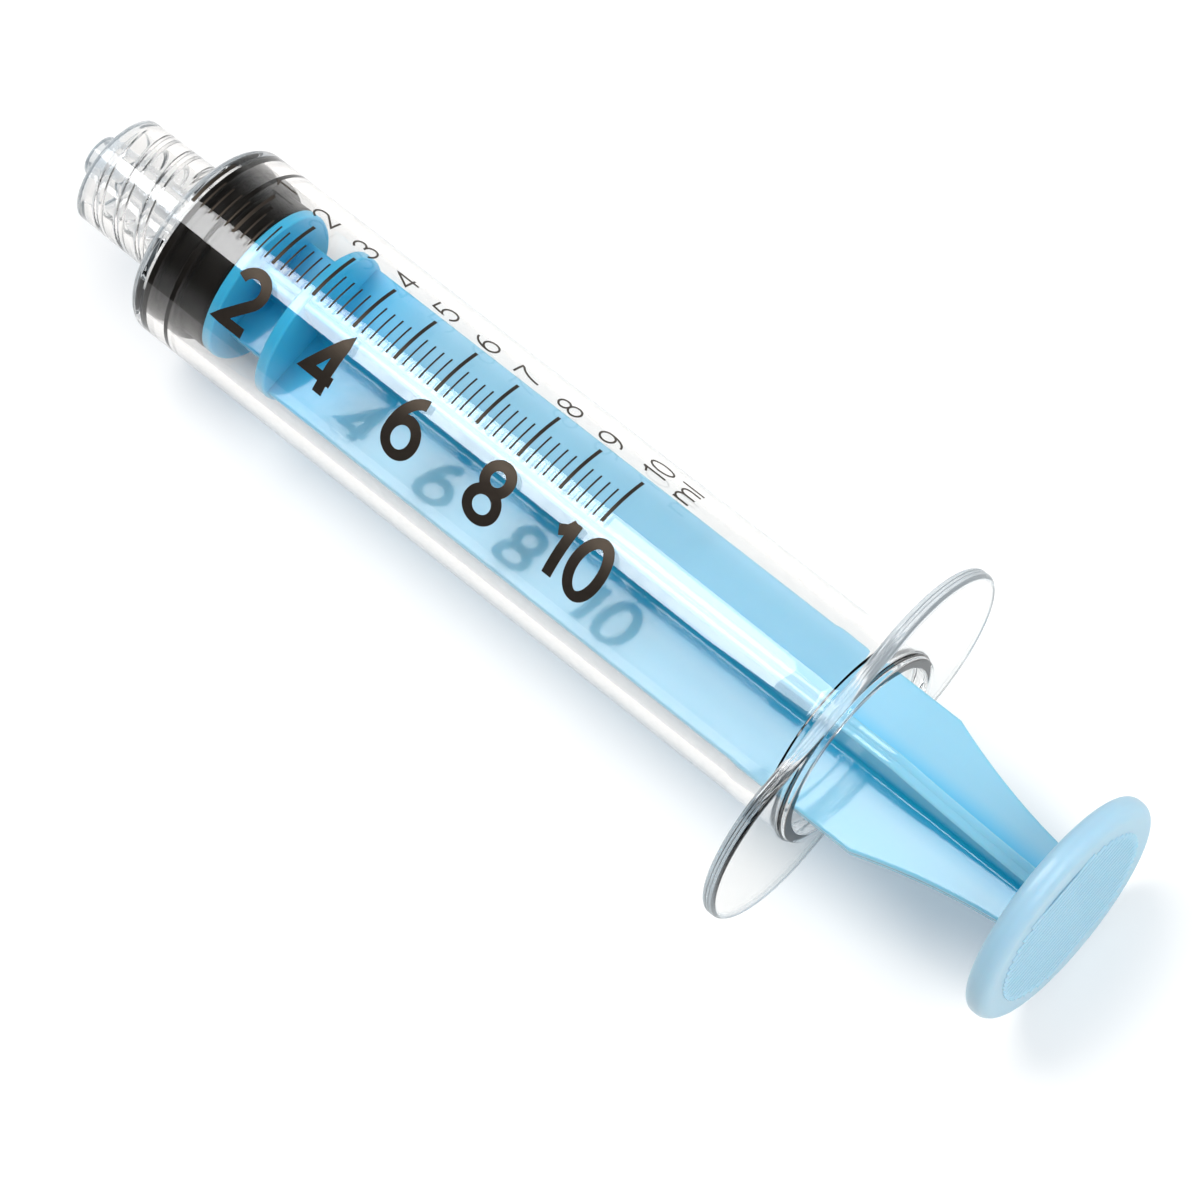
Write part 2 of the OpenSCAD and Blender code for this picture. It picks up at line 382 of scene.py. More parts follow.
def barrel_zones(tree):
    """How far a point belongs to the flange, the shoulder, the flange's rim and the collar's mouth.

    The rod's roll, which own_place takes off, moves these broad zones by about half a millimetre at most.
    """
    x, y, z = own_place(tree)
    wings = rise(tree, x, *FLANGE_FRONT_SPAN) * fall(tree, x, *FLANGE_BACK_SPAN)
    shoulder = rise(tree, x, *SHOULDER_FRONT_SPAN) * fall(tree, x, *SHOULDER_BACK_SPAN)
    shoulder = shoulder * rise(tree, root(tree, y * y + z * z), *SHOULDER_R_SPAN)
    sideways = tree.add("ShaderNodeMath", {"operation": "ABSOLUTE"}, y)
    outward = larger(tree, sideways - (FLANGE_Y - FLANGE_Z) * MM, 0.0)
    rim = wings * rise(tree, root(tree, outward * outward + z * z), *RIM_SPAN)
    mouth = fall(tree, x, *MOUTH_SPAN)
    return wings, shoulder, rim, mouth


print("the shoulder's zone ends at", SHOULDER_BACK_SPAN[1], "and the mouth's at", MOUTH_SPAN[1])

# %% Clear plastic
CLEAR_COOL = (0.948, 0.956, 0.964, 1)
CLEAR_PALE = (0.966, 0.972, 0.978, 1)
CLEAR_THROUGH = (0.955, 0.962, 0.968, 1)
VEIL_COLOUR = (0.60, 0.68, 0.74, 1)
RIM_VEIL = 0.38
SHOULDER_VEIL = 0.3
MOUTH_VEIL = 0.2
FLOW_SHARE = 0.35
CLEAR_RELIEF = 0.16
CLEAR_POLISH = 0.003
CLEAR_HAZE = 0.008
ALONG_BARREL = (0.08, 1, 1)
ROUND_BARREL = (7.0, 0.3, 0.3)


def clear_plastic():
    material, tree, out = new_material("clear_plastic")
    flow = noise(tree, cell=2.5, detail=3, squeeze=ALONG_BARREL)
    haze = noise(tree, cell=9, detail=2)
    drawn = noise(tree, cell=1.6, detail=3, squeeze=ROUND_BARREL)
    wings, shoulder, rim, mouth = barrel_zones(tree)
    height = flow * FLOW_SHARE + drawn * larger(tree, wings, shoulder)
    bump = tree.add("ShaderNodeBump", {}, Strength=CLEAR_RELIEF, Distance=0.02 * MM, Height=height)
    glass = tree.add(
        "ShaderNodeBsdfPrincipled",
        {},
        Base_Color=mix_colours(tree, haze, CLEAR_COOL, CLEAR_PALE),
        Roughness=CLEAR_POLISH + haze * CLEAR_HAZE,
        Normal=bump,
        IOR=PLASTIC_IOR,
        Transmission_Weight=1.0,
    )
    milky = rim * RIM_VEIL + shoulder * SHOULDER_VEIL + mouth * MOUTH_VEIL
    veil = tree.add("ShaderNodeBsdfDiffuse", {}, Color=VEIL_COLOUR)
    veiled = tree.add("ShaderNodeMixShader", {}, milky, glass, veil)
    path = tree.make("ShaderNodeLightPath")
    shadow, diffuse = (Wire(tree, path.outputs[n]) for n in ("Is Shadow Ray", "Is Diffuse Ray"))
    through = tree.add("ShaderNodeBsdfTransparent", {}, Color=CLEAR_THROUGH)
    mixed = tree.add("ShaderNodeMixShader", {}, larger(tree, shadow, diffuse), veiled, through)
    tree.plug(out.inputs["Surface"], mixed)
    return material


CLEAR = clear_plastic()
print("finish", CLEAR.name)

# %% [markdown]
# ### Blue rod plastic
# The rod is a softer, milky plastic. Light sinks in and comes out again a millimetre away, so thin ribs
# glow. A plain coloured plastic would look painted, and glass would look wet, so subsurface scattering
# does that. The colour is deepest along the core, partly for the thicker plastic there and partly as painted
# shade in the inner corners of the ribs, and round the discs and the neck it is deep as painted shade too. It
# is paler where the ribs are thin, the thumb rest is given a paler, greyer blue, and painted shade darkens
# the grooves between its ridges. One half of the tool was polished and the other left satin, so the rib that
# points to +Y shines less than the others, and so does the rest. The faint streaks come from the melt
# that flows along the ribs, and the grain is the tool's satin.

# %% Zones of the rod
REST_SPAN = (REST_X - 1.2, REST_X - 0.2)
SATIN_SPAN = (0.8, 1.2)
THIN_SPAN = (0.8, 3.4)
# Round the discs and the neck, fading behind the rear disc, the deep blue is painted shade.
NECK_SHADE_SPAN = (REAR_DISC_X + 2, REAR_DISC_X + 12)
# The face of the rest between its ridges gets painted shade, a darker blue that stops below the ridges' tops.
GROOVE_SHADE_R_SPAN = (GRIP_R - 0.7, GRIP_R - 0.3)
GROOVE_SHADE_FRONT_SPAN = (REST_BACK_X - 0.2, REST_BACK_X - 0.1)
GROOVE_SHADE_BACK_SPAN = (REST_BACK_X + 0.04, REST_BACK_X + 0.14)
REST_SATIN = 0.6
# How far the painted shade round the neck pulls the colour towards the deep blue.
NECK_SHADE = 0.8


def rod_zones(tree):
    """How far a point belongs to the rest, the satin half, the thin plastic clear of the deep core, which is
    partly painted shade, and of the painted shade round the neck, and the painted shade in the rest's
    grooves.
    """
    x, y, z = own_place(tree)
    radius = root(tree, y * y + z * z)
    rest = rise(tree, x, *REST_SPAN)
    satin = larger(tree, rise(tree, y, *SATIN_SPAN), rest * REST_SATIN)
    # Painted shade: the plastic round the discs and the neck is pulled towards the deep blue.
    neck = fall(tree, x, *NECK_SHADE_SPAN)
    thin = larger(tree, rise(tree, radius, *THIN_SPAN) * (1 - neck * NECK_SHADE), rest)
    # Painted shade in the grooves between the rest's ridges.
    groove = fall(tree, radius, *GROOVE_SHADE_R_SPAN) * fall(tree, x, *GROOVE_SHADE_BACK_SPAN)
    groove = groove * rise(tree, x, *GROOVE_SHADE_FRONT_SPAN)
    return rest, satin, thin, groove


print("plastic counts as thin from", THIN_SPAN[1], "mm off the axis, and as satin from", SATIN_SPAN[1])

# %% Blue plastic
BLUE_RIB = (0.215, 0.495, 0.645, 1)
BLUE_STREAK = (0.25, 0.535, 0.685, 1)
# The deep blue is partly the thick plastic of the core and partly painted shade, in the ribs' inner corners
# and round the neck.
BLUE_DEPTH_AND_SHADE = (0.0, 0.43, 0.70, 1)
BLUE_REST = (0.335, 0.54, 0.675, 1)
# Painted shade for the grooves between the rest's ridges.
BLUE_GROOVE_SHADE = (0.10, 0.28, 0.42, 1)
GROOVE_SHADE_SHARE = 0.8
POLISHED_ROUGH = 0.06
SATIN_ROUGH = 0.36
STREAK_ROUGH = 0.05
POLISHED_RELIEF = 0.03
SATIN_RELIEF = 0.2
GLOW_DEPTH = 0.6
GLOW_COLOUR = (0.4, 1.0, 1.3)
ALONG_RIBS = (0.15, 1, 1)


def blue_plastic():
    material, tree, out = new_material("blue_plastic")
    streaks = noise(tree, cell=3.0, detail=3, squeeze=ALONG_RIBS)
    grain = noise(tree, cell=0.12, detail=2)
    rest, satin, thin, groove = rod_zones(tree)
    ribs = mix_colours(tree, streaks, BLUE_RIB, BLUE_STREAK)
    # Deep blue near the axis and round the neck: partly the plastic's depth, partly painted shade.
    shaft = mix_colours(tree, thin, BLUE_DEPTH_AND_SHADE, ribs)
    whole = mix_colours(tree, rest, shaft, BLUE_REST)
    relief = POLISHED_RELIEF + satin * SATIN_RELIEF
    bump = tree.add("ShaderNodeBump", {}, Strength=relief, Distance=0.01 * MM, Height=grain)
    plastic = tree.add(
        "ShaderNodeBsdfPrincipled",
        {},
        # Painted shade darkens the grooves between the rest's ridges.
        Base_Color=mix_colours(tree, groove * GROOVE_SHADE_SHARE, whole, BLUE_GROOVE_SHADE),
        Roughness=POLISHED_ROUGH + satin * SATIN_ROUGH + streaks * STREAK_ROUGH,
        Normal=bump,
        IOR=PLASTIC_IOR,
        Subsurface_Weight=0.6,
        Subsurface_Radius=GLOW_COLOUR,
        Subsurface_Scale=GLOW_DEPTH * MM,
    )
    tree.plug(out.inputs["Surface"], plastic)
    return material


BLUE = blue_plastic()
print("finish", BLUE.name)

# %% [markdown]
# ### Black rubber and ink
# The stopper is a warm black rubber with a dull film of silicone oil. A pure black would hide its ribs,
# so two near blacks are mottled through each other, with a weak and broad sheen that leaves it darker
# than the ink. The ink is a thick, slightly brown black that lies on the barrel, and it mirrors the light
# in a warm tone.

# %% Rubber and ink
RUBBER_DARK = (0.0040, 0.0033, 0.0026, 1)
RUBBER_PALE = (0.0072, 0.0058, 0.0044, 1)
INK_DARK = (0.0125, 0.0105, 0.009, 1)
INK_PALE = (0.021, 0.017, 0.0145, 1)
INK_SHEEN = (1.0, 0.8, 0.62, 1)
RUBBER_ROUGH = 0.3
RUBBER_MOTTLE = 0.14
INK_ROUGH = 0.36
INK_MOTTLE = 0.12


def black_rubber():
    material, tree, out = new_material("black_rubber")
    mottle = noise(tree, cell=1.6, detail=3)
    grain = noise(tree, cell=0.2, detail=2)
    bump = tree.add("ShaderNodeBump", {}, Strength=0.3, Distance=0.015 * MM, Height=grain)
    rubber = tree.add(
        "ShaderNodeBsdfPrincipled",
        {},
        Base_Color=mix_colours(tree, mottle, RUBBER_DARK, RUBBER_PALE),
        Roughness=RUBBER_ROUGH + mottle * RUBBER_MOTTLE,
        Normal=bump,
        IOR=PLASTIC_IOR,
        Specular_IOR_Level=0.1,
    )
    tree.plug(out.inputs["Surface"], rubber)
    return material


def black_ink():
    material, tree, out = new_material("black_ink")
    mottle = noise(tree, cell=0.5, detail=3)
    bump = tree.add("ShaderNodeBump", {}, Strength=0.2, Distance=0.008 * MM, Height=mottle)
    ink = tree.add(
        "ShaderNodeBsdfPrincipled",
        {},
        Base_Color=mix_colours(tree, mottle, INK_DARK, INK_PALE),
        Roughness=INK_ROUGH + mottle * INK_MOTTLE,
        Normal=bump,
        IOR=PLASTIC_IOR,
        Specular_Tint=INK_SHEEN,
    )
    tree.plug(out.inputs["Surface"], ink)
    return material


RUBBER = black_rubber()
INK = black_ink()
print("finishes", RUBBER.name, INK.name)

# %% [markdown]
# ## The barrel
# The real barrel is one moulding, and so is this one: a single closed net. A tube, a collar and a flange
# could be joined by Booleans, but each seam would leave ragged shading, and every extra skin inside clear
# plastic would bend the light again. So the rings of one net follow a single loop: from the channel round
# the luer cone, in and out of the threaded collar, along the tube, over the finger flange and the lip,
# and back down the bore. Most rings are circles. In the collar the radius also depends on the angle,
# which cuts the double thread, and on the flange it follows the stadium shape of the wings, whose rim
# carries two fine grooves.

# %% Radii that change with the angle
THREAD_LEAD = 5.0
THREAD_STARTS = 2
THREAD_H = 0.5
THREAD_START = 1.4
# The flanks of the thread are shares of its pitch, and its ends fade over these places along the axis.
FLANK_UP = (0.26, 0.42)
FLANK_DOWN = (0.58, 0.74)
THREAD_FADE_IN = (0.5, 1.3)
THREAD_FADE_OUT = (FACE_X - 2.2, FACE_X - 1.4)


def wing_radius(angle):
    """Distance from the axis to the flange's outline, two round wings joined by a straight slab."""
    across = FLANGE_Y - FLANGE_Z
    y, z = math.cos(angle), abs(math.sin(angle))
    if z > 1e-9 and abs(y) * FLANGE_Z / z <= across:
        return FLANGE_Z / z
    return across * abs(y) + math.sqrt(FLANGE_Z**2 - (across * z) ** 2)


def smooth_step(span, value):
    """0 before a span and 1 past it, smooth between."""
    low, high = span
    share = min(max((value - low) / (high - low), 0), 1)
    return share * share * (3 - 2 * share)


def thread_radius(x, angle):
    """Radius of the collar's bore, less the ridge of the double thread where it passes."""
    pitch = THREAD_LEAD / THREAD_STARTS
    phase = ((x + THREAD_START - THREAD_LEAD * angle / (2 * math.pi)) / pitch) % 1
    ridge = smooth_step(FLANK_UP, phase) * (1 - smooth_step(FLANK_DOWN, phase))
    ends = smooth_step(THREAD_FADE_IN, x) * (1 - smooth_step(THREAD_FADE_OUT, x))
    return COLLAR_BORE_R - THREAD_H * ridge * ends


print("thread crest radius", COLLAR_BORE_R - THREAD_H, "lead", THREAD_LEAD)

# %% Rings of the cone and the collar
ROUND, WING, THREAD, ROOT = "round", "wing", "thread", "root"
COLLAR_R = 5.25
COLLAR_DRAFT = 0.1
CHANNEL_R = 1.0
LUER_TAPER = 0.06
TIP_ROUND = (TIP_R - CHANNEL_R) / 8
WELL_ROUND = 0.35
COLLAR_ROUND = (COLLAR_R - COLLAR_BORE_R) / 7
THREAD_RINGS = 96
THREAD_LOW = COLLAR_ROUND + 0.2
THREAD_HIGH = FACE_X - 1.2 * WELL_ROUND
BODY_ROUND_START = 165
ROOT_FILLET = 0.3


def marked(kind, points):
    """Rings of one kind from points of (place, radius)."""
    return [(kind, x, r) for x, r in points]


def cone_rings():
    """From the channel round the cone's tip, down its taper and across the bottom of the collar."""
    foot_r = TIP_R + LUER_TAPER * (FACE_X - TIP_X) / 2
    return joined_profile(
        (FLOOR_X - FRONT_DIP, CHANNEL_R),
        arc(TIP_X + TIP_ROUND, CHANNEL_R + TIP_ROUND, TIP_ROUND, 270, 180, 5),
        arc(TIP_X + TIP_ROUND, TIP_R - TIP_ROUND, TIP_ROUND, 180, 90, 6),
        arc(FACE_X - WELL_ROUND, foot_r + WELL_ROUND, WELL_ROUND, -90, 0, 6),
        arc(FACE_X - WELL_ROUND, COLLAR_BORE_R - WELL_ROUND, WELL_ROUND, 0, 90, 6),
    )


def thread_rings():
    """From the bottom of the collar's bore out to its mouth. The angle gives the radius."""
    run = THREAD_LOW - THREAD_HIGH
    return [(THREAD_HIGH + run * i / THREAD_RINGS, 0) for i in range(THREAD_RINGS + 1)]


def outer_rings():
    """Round the collar's mouth, down its outside, over the sloped front and along the tube."""
    return joined_profile(
        arc(COLLAR_ROUND, COLLAR_BORE_R + COLLAR_ROUND, COLLAR_ROUND, 270, 180, 6),
        arc(COLLAR_ROUND, COLLAR_R - COLLAR_ROUND, COLLAR_ROUND, 180, 90, 6),
        arc(FACE_X - WELL_ROUND, COLLAR_R + COLLAR_DRAFT + WELL_ROUND, WELL_ROUND, -90, 0, 6),
        arc(FACE_X + FRONT_SLOPE + FRONT_ROUND, TUBE_R - FRONT_ROUND, FRONT_ROUND, BODY_ROUND_START, 90, 12),
        arc(FLANGE_X - ROOT_FILLET, TUBE_R + ROOT_FILLET, ROOT_FILLET, -90, 0, 6),
    )


print("collar", 2 * COLLAR_R, "wide with", THREAD_RINGS, "rings of thread")

# %% Rings of the flange
WING_IN = 3.4
WING_STEP = 0.5
WING_RINGS = 6
RIM_ROUND = 0.4
GROOVE_FLAT = 0.06
FRONT_GROOVE = {"start": FLANGE_X + RIM_ROUND + 0.06, "side": 0.04, "deep": 0.05}
BACK_GROOVE = {"start": FLANGE_BACK_X - RIM_ROUND - 0.14, "side": 0.03, "deep": 0.04}


def rim_groove(start, side, deep):
    """A fine groove round the rim: down one side, along its flat and up the other side."""
    foot = start + side
    return [(start, 0), (foot, -deep), (foot + GROOVE_FLAT, -deep), (foot + GROOVE_FLAT + side, 0)]


def wing_rings():
    """Out along the flange's front, over its grooved rim and back in, as distances out from its outline."""
    rings = [(FLANGE_X, -WING_IN + WING_STEP * i) for i in range(WING_RINGS)]
    rings += arc(FLANGE_X + RIM_ROUND, -RIM_ROUND, RIM_ROUND, 180, 90, 8)
    rings += rim_groove(**FRONT_GROOVE) + rim_groove(**BACK_GROOVE)
    rings += arc(FLANGE_BACK_X - RIM_ROUND, -RIM_ROUND, RIM_ROUND, 90, 0, 8)
    rings += [(FLANGE_BACK_X, -WING_STEP * i - RIM_ROUND) for i in range(1, WING_RINGS + 1)]
    return rings


print("flange", round(FLANGE_BACK_X - FLANGE_X, 2), "thick with", len(wing_rings()), "rings")

# %% Rings of the lip and the bore
LIP_T = 1.0
LIP_ROUND = 0.15
BORE_ROUND = 0.25
RING_H = 0.25
RING_X = MOUTH_X - 3.1
RING_CREST = 0.3
RING_RAMP = 3.5
OPEN_R = BORE_R + RING_H
LIP_R = OPEN_R + LIP_T
# An ease softens a corner. It says how far the extra point lies along the axis and across it.
OPEN_EASE = (0.0, 0.02)
FOOT_EASE = (0.1, 0.03)
WALL_EASE = (0.08, 0.04)
RAMP_EASE = (0.2, 0.01)
TAIL_EASE = (0.4, 0.02)
DIP_EASE = (0.02, 0.3)
CHANNEL_EDGE = 0.1


def keeper_rings():
    """The ring that keeps the stopper in, from the mouth: a wide opening, a steep step and a long ramp."""
    step_x = RING_X + 2 * RING_CREST
    open_x = (step_x + MOUTH_X) / 2
    crest_x = RING_X + RING_CREST
    crest_r = BORE_R - RING_H
    tail_x = RING_X - RING_RAMP
    return [
        [(open_x + BORE_ROUND, OPEN_R), (open_x - OPEN_EASE[0], OPEN_R - OPEN_EASE[1])],
        [(step_x + FOOT_EASE[0], BORE_R + FOOT_EASE[1]), (step_x, BORE_R)],
        [(step_x - WALL_EASE[0], BORE_R - WALL_EASE[1])],
        [(crest_x + WALL_EASE[0], crest_r + WALL_EASE[1]), (crest_x, crest_r)],
        [(RING_X, crest_r), (RING_X - RAMP_EASE[0], crest_r + RAMP_EASE[1])],
        [(tail_x + TAIL_EASE[0], BORE_R - TAIL_EASE[1]), (tail_x, BORE_R)],
    ]


def bore_rings():
    """Over the lip, in past the keeper ring, along the bore and across its dipped end to the channel."""
    dip_x = FLOOR_X - FRONT_DIP
    return joined_profile(
        arc(FLANGE_BACK_X + LIP_ROUND, LIP_R + LIP_ROUND, LIP_ROUND, 180, 270, 4),
        arc(MOUTH_X - LIP_ROUND, LIP_R - LIP_ROUND, LIP_ROUND, 90, 0, 5),
        arc(MOUTH_X - LIP_ROUND, OPEN_R + LIP_ROUND, LIP_ROUND, 0, -90, 5),
        *keeper_rings(),
        arc(FLOOR_X + FRONT_DIP / 2 + BORE_ROUND, BORE_R - BORE_ROUND, BORE_ROUND, 90, 180, 5),
        (FLOOR_X, BORE_R - FRONT_DIP / 2),
        [(dip_x + DIP_EASE[0], CHANNEL_R + DIP_EASE[1]), (dip_x, CHANNEL_R + CHANNEL_EDGE)],
    )


print("mouth radius", OPEN_R, "keeper ring at", round(RING_X, 2))

# %% The barrel's net
BARREL_SEGMENTS = 240
FRONT_ROOT_R = TUBE_R + ROOT_FILLET
BACK_ROOT_R = LIP_R + LIP_ROUND
SMALLEST_HOLD = 0.002
RING_APART = 0.004


def ring_radius(kind, x, r, angle, order):
    """Radius of a ring at an angle. Wing rings that would fall inside the root stay a hair apart instead."""
    if kind == THREAD:
        return thread_radius(x, angle)
    if kind == ROOT:
        return r + min(HOLD, max(wing_radius(angle) - WING_IN - r, SMALLEST_HOLD) / 2)
    if kind == WING:
        root_r = FRONT_ROOT_R if x < (FLANGE_X + FLANGE_BACK_X) / 2 else BACK_ROOT_R
        return max(wing_radius(angle) + r, root_r + RING_APART * order)
    return r


def barrel_loop():
    """All rings as (kind, place, radius). The root rings hold the shading between a fillet and a wing."""
    return (
        marked(ROUND, cone_rings())
        + marked(THREAD, thread_rings())
        + marked(ROUND, outer_rings())
        + marked(ROOT, [(FLANGE_X, FRONT_ROOT_R)])
        + marked(WING, wing_rings())
        + marked(ROOT, [(FLANGE_BACK_X, BACK_ROOT_R)])
        + marked(ROUND, bore_rings())
    )


def make_barrel():
    loop = barrel_loop()
    wings = [i for i, ring in enumerate(loop) if ring[0] == WING]
    middle = (wings[0] + wings[-1]) / 2
    vertices = []
    for row, (kind, x, r) in enumerate(loop):
        order = len(wings) / 2 - abs(row - middle)
        for i in range(BARREL_SEGMENTS):
            angle = 2 * math.pi * i / BARREL_SEGMENTS
            radius = ring_radius(kind, x, r, angle, order)
            vertices.append((x, radius * math.cos(angle), radius * math.sin(angle)))
    faces = []
    for row in range(len(loop)):
        one = row * BARREL_SEGMENTS
        two = (row + 1) % len(loop) * BARREL_SEGMENTS
        for i in range(BARREL_SEGMENTS):
            j = (i + 1) % BARREL_SEGMENTS
            faces.append((one + i, two + i, two + j, one + j))
    piece = new_piece("barrel_clear", vertices, faces, CLEAR)
    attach(piece, "barrel")
    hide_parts("barrel")
    return piece


barrel = make_barrel()
print("barrel net", len(barrel.data.polygons), "faces")

# %% [markdown]
# ## The stopper
# On the real syringe this is one rubber moulding: a nose that fits the dipped end of the bore, two
# sealing ribs that press on the wall, and a skirt that stands clear of it. A cylinder with bevels would
# do from afar, but the ribs show through the barrel as bands, so their profile is drawn and turned. The
# rod's head is inside and never seen, so the hollow is left to the model below, and this skin is closed
# behind. The ribs have round edges and leaning sides, because rubber always comes out of its mould that
# way.

# %% Stopper
GROOVE = 0.8
SQUEEZE = 0.006
SKIRT_GAP = 0.75
RUBBER_ROUND = 0.22
NOSE_DROP = 0.6
NOSE_EDGE = 0.05
FRONT_RIB_T = 0.8
BACK_RIB = (2.5, 3.3)
RIB_LEAN = 15
GROOVE_LEAN = 20


def rib_edges(x, side, seal_r, groove_r):
    """Rounds at the crest and the foot of one side of a rib, -1 where the rib starts and 1 where it ends."""
    lean = 90 - side * (90 - RIB_LEAN)
    slope = 270 - side * (90 - GROOVE_LEAN)
    crest = arc(x - side * RUBBER_ROUND, seal_r - RUBBER_ROUND, RUBBER_ROUND, 90, lean, 5)
    foot = arc(x + side * RUBBER_ROUND, groove_r + RUBBER_ROUND, RUBBER_ROUND, 270, slope, 4)
    return crest, foot


def make_stopper():
    groove_r = SEAL_R - GROOVE
    seal_r = BORE_R + SQUEEZE
    skirt_r = BORE_R - SKIRT_GAP
    front_crest, front_foot = rib_edges(ZERO_X + FRONT_RIB_T, 1, seal_r, groove_r)
    start_crest, start_foot = rib_edges(ZERO_X + BACK_RIB[0], -1, seal_r, groove_r)
    back_crest, back_foot = rib_edges(ZERO_X + BACK_RIB[1], 1, seal_r, groove_r)
    profile = joined_profile(
        (STOPPER_NOSE_X, 0),
        (STOPPER_NOSE_X, POLE_R),
        (ZERO_X - NOSE_EDGE, seal_r - NOSE_DROP),
        arc(ZERO_X + RUBBER_ROUND, seal_r - RUBBER_ROUND, RUBBER_ROUND, 180, 90, 5),
        front_crest,
        front_foot[::-1],
        start_foot,
        start_crest[::-1],
        back_crest,
        back_foot[::-1],
        arc(STOPPER_BACK_X - RUBBER_ROUND, skirt_r - RUBBER_ROUND, RUBBER_ROUND, 90, 0, 5),
        (STOPPER_BACK_X, POLE_R),
        (STOPPER_BACK_X, 0),
    )
    piece = new_piece("stopper_rubber", *turned(profile), RUBBER)
    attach(piece, "stopper")
    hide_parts("stopper")
    return piece


stopper = make_stopper()
print("stopper", len(stopper.data.polygons), "faces")

# %% [markdown]
# ## Geometry Nodes
# On the real syringe the ridges of the thumb rest and the lines of the scale repeat by a rule. A loop in
# Python could lay them out too, but a tree of nodes says the rule once and keeps its sizes as named
# inputs. A tree is built in Python, run once on an empty mesh, and its result is kept as a plain mesh, so
# that the scene holds no modifier.

# %% Growing a mesh from a tree


def geometry_tree(name, values):
    """A geometry tree with a float or integer input for each named value: its group, tree and input wires."""
    group = bpy.data.node_groups.new(name, "GeometryNodeTree")
    group.interface.new_socket("Geometry", in_out="OUTPUT", socket_type="NodeSocketGeometry")
    for label, value in values.items():
        kind = "NodeSocketInt" if isinstance(value, int) else "NodeSocketFloat"
        group.interface.new_socket(label, in_out="INPUT", socket_type=kind)
    tree = Tree(group)
    source = tree.make("NodeGroupInput")
    wires = {label: Wire(tree, source.outputs[label]) for label in values}
    return group, tree, wires


def finish_tree(group, tree, solid, material):
    """Ends a geometry tree: real meshes, one material, and the output."""
    real = tree.add("GeometryNodeRealizeInstances", {}, solid)
    dressed = tree.add("GeometryNodeSetMaterial", {}, real, Material=material)
    out = tree.make("NodeGroupOutput")
    tree.plug(out.inputs["Geometry"], dressed)
    return group


def grown(name, group, values):
    """Runs a geometry tree on an empty mesh and returns its result as a plain piece."""
    holder = bpy.data.objects.new(name, bpy.data.meshes.new(name))
    bpy.context.scene.collection.objects.link(holder)
    modifier = holder.modifiers.new("tree", "NODES")
    modifier.node_group = group
    for socket in group.interface.items_tree:
        if socket.in_out == "INPUT":
            modifier[socket.identifier] = values[socket.name]
    graph = bpy.context.evaluated_depsgraph_get()
    mesh = bpy.data.meshes.new_from_object(holder.evaluated_get(graph), depsgraph=graph)
    holder.modifiers.clear()
    holder.data = mesh
    mesh.name = name
    return holder


print("a tree has one input for each of its sizes")

# %% [markdown]
# ### Ridges of the thumb rest
# Parallel ridges fill a circle on the rest's outer face, so that a thumb doesn't slip. A bump in the
# material would give their shading but no edge against the light. The tree lays a row of points across
# the face, puts a round-backed bar on each, and scales the bar to the chord of the circle at that place,
# `2 sqrt(r^2 - z^2)`.

# %% Ridges
RIDGE_PITCH = 0.75
RIDGE_W = 0.4
RIDGE_H = 0.2
BAR_SIDES = 12


def ridge_tree(values):
    """Bars along Y in a row along Z, each as long as the circle's chord, half sunk in the face."""
    group, tree, wire = geometry_tree("thumb_ridges", values)
    half = (wire["Count"] - 1) * wire["Pitch"] / 2
    first = tree.add("ShaderNodeCombineXYZ", {}, wire["Face"], 0.0, 0.0 - half)
    step = tree.add("ShaderNodeCombineXYZ", {}, 0.0, 0.0, wire["Pitch"])
    row = tree.add("GeometryNodeMeshLine", {}, Count=wire["Count"], Offset=step, Start_Location=first)
    sizes = {"Vertices": BAR_SIDES, "Side_Segments": 2, "Radius": 1.0, "Depth": 1.0}
    bar = tree.add("GeometryNodeMeshCylinder", {}, **sizes)
    section = tree.add("ShaderNodeCombineXYZ", {}, wire["Height"], wire["Width"] / 2, 1.0)
    flat = tree.add("GeometryNodeTransform", {}, bar, Scale=section)
    lying = tree.add("GeometryNodeTransform", {}, flat, Rotation=(math.pi / 2, 0, 0))
    place = tree.make("ShaderNodeSeparateXYZ", {}, tree.add("GeometryNodeInputPosition"))
    z = Wire(tree, place.outputs["Z"])
    chord = root(tree, wire["Radius"] * wire["Radius"] - z * z) * 2
    stretch = tree.add("ShaderNodeCombineXYZ", {}, 1.0, chord, 1.0)
    bars = tree.add("GeometryNodeInstanceOnPoints", {}, row, Instance=lying, Scale=stretch)
    return finish_tree(group, tree, bars, BLUE)


ridge_values = {
    "Count": 2 * int((GRIP_R - RIDGE_W) / RIDGE_PITCH) + 1,
    "Pitch": RIDGE_PITCH * MM,
    "Radius": GRIP_R * MM,
    "Width": RIDGE_W * MM,
    "Height": RIDGE_H * MM,
    "Face": REST_BACK_X * MM,
}
print("ridges", ridge_values["Count"], "bars")

# %% [markdown]
# ## The plunger rod
# On the real syringe the rod is one moulding: four ribs in a cross, two discs, a neck and the thumb rest.
# Boxes and cylinders put through each other would look right in a solid colour, but light that scatters
# inside the plastic sees every buried face. So the pieces are made apart and then welded into one skin
# with Boolean unions. The ribs are one cross-shaped outline with round tips and filleted corners,
# repeated along the axis while its reach follows the taper, with the fine parting line of the tool along
# each tip. The discs and the rest are turned.

# %% Cross-shaped ribs
RIB_T = 1.5
TIP_EDGE = 0.22
CORNER_FILLET = 0.3
PARTING_HALF = 0.1
PARTING_FLOOR = 0.03
PARTING_DEEP = 0.05


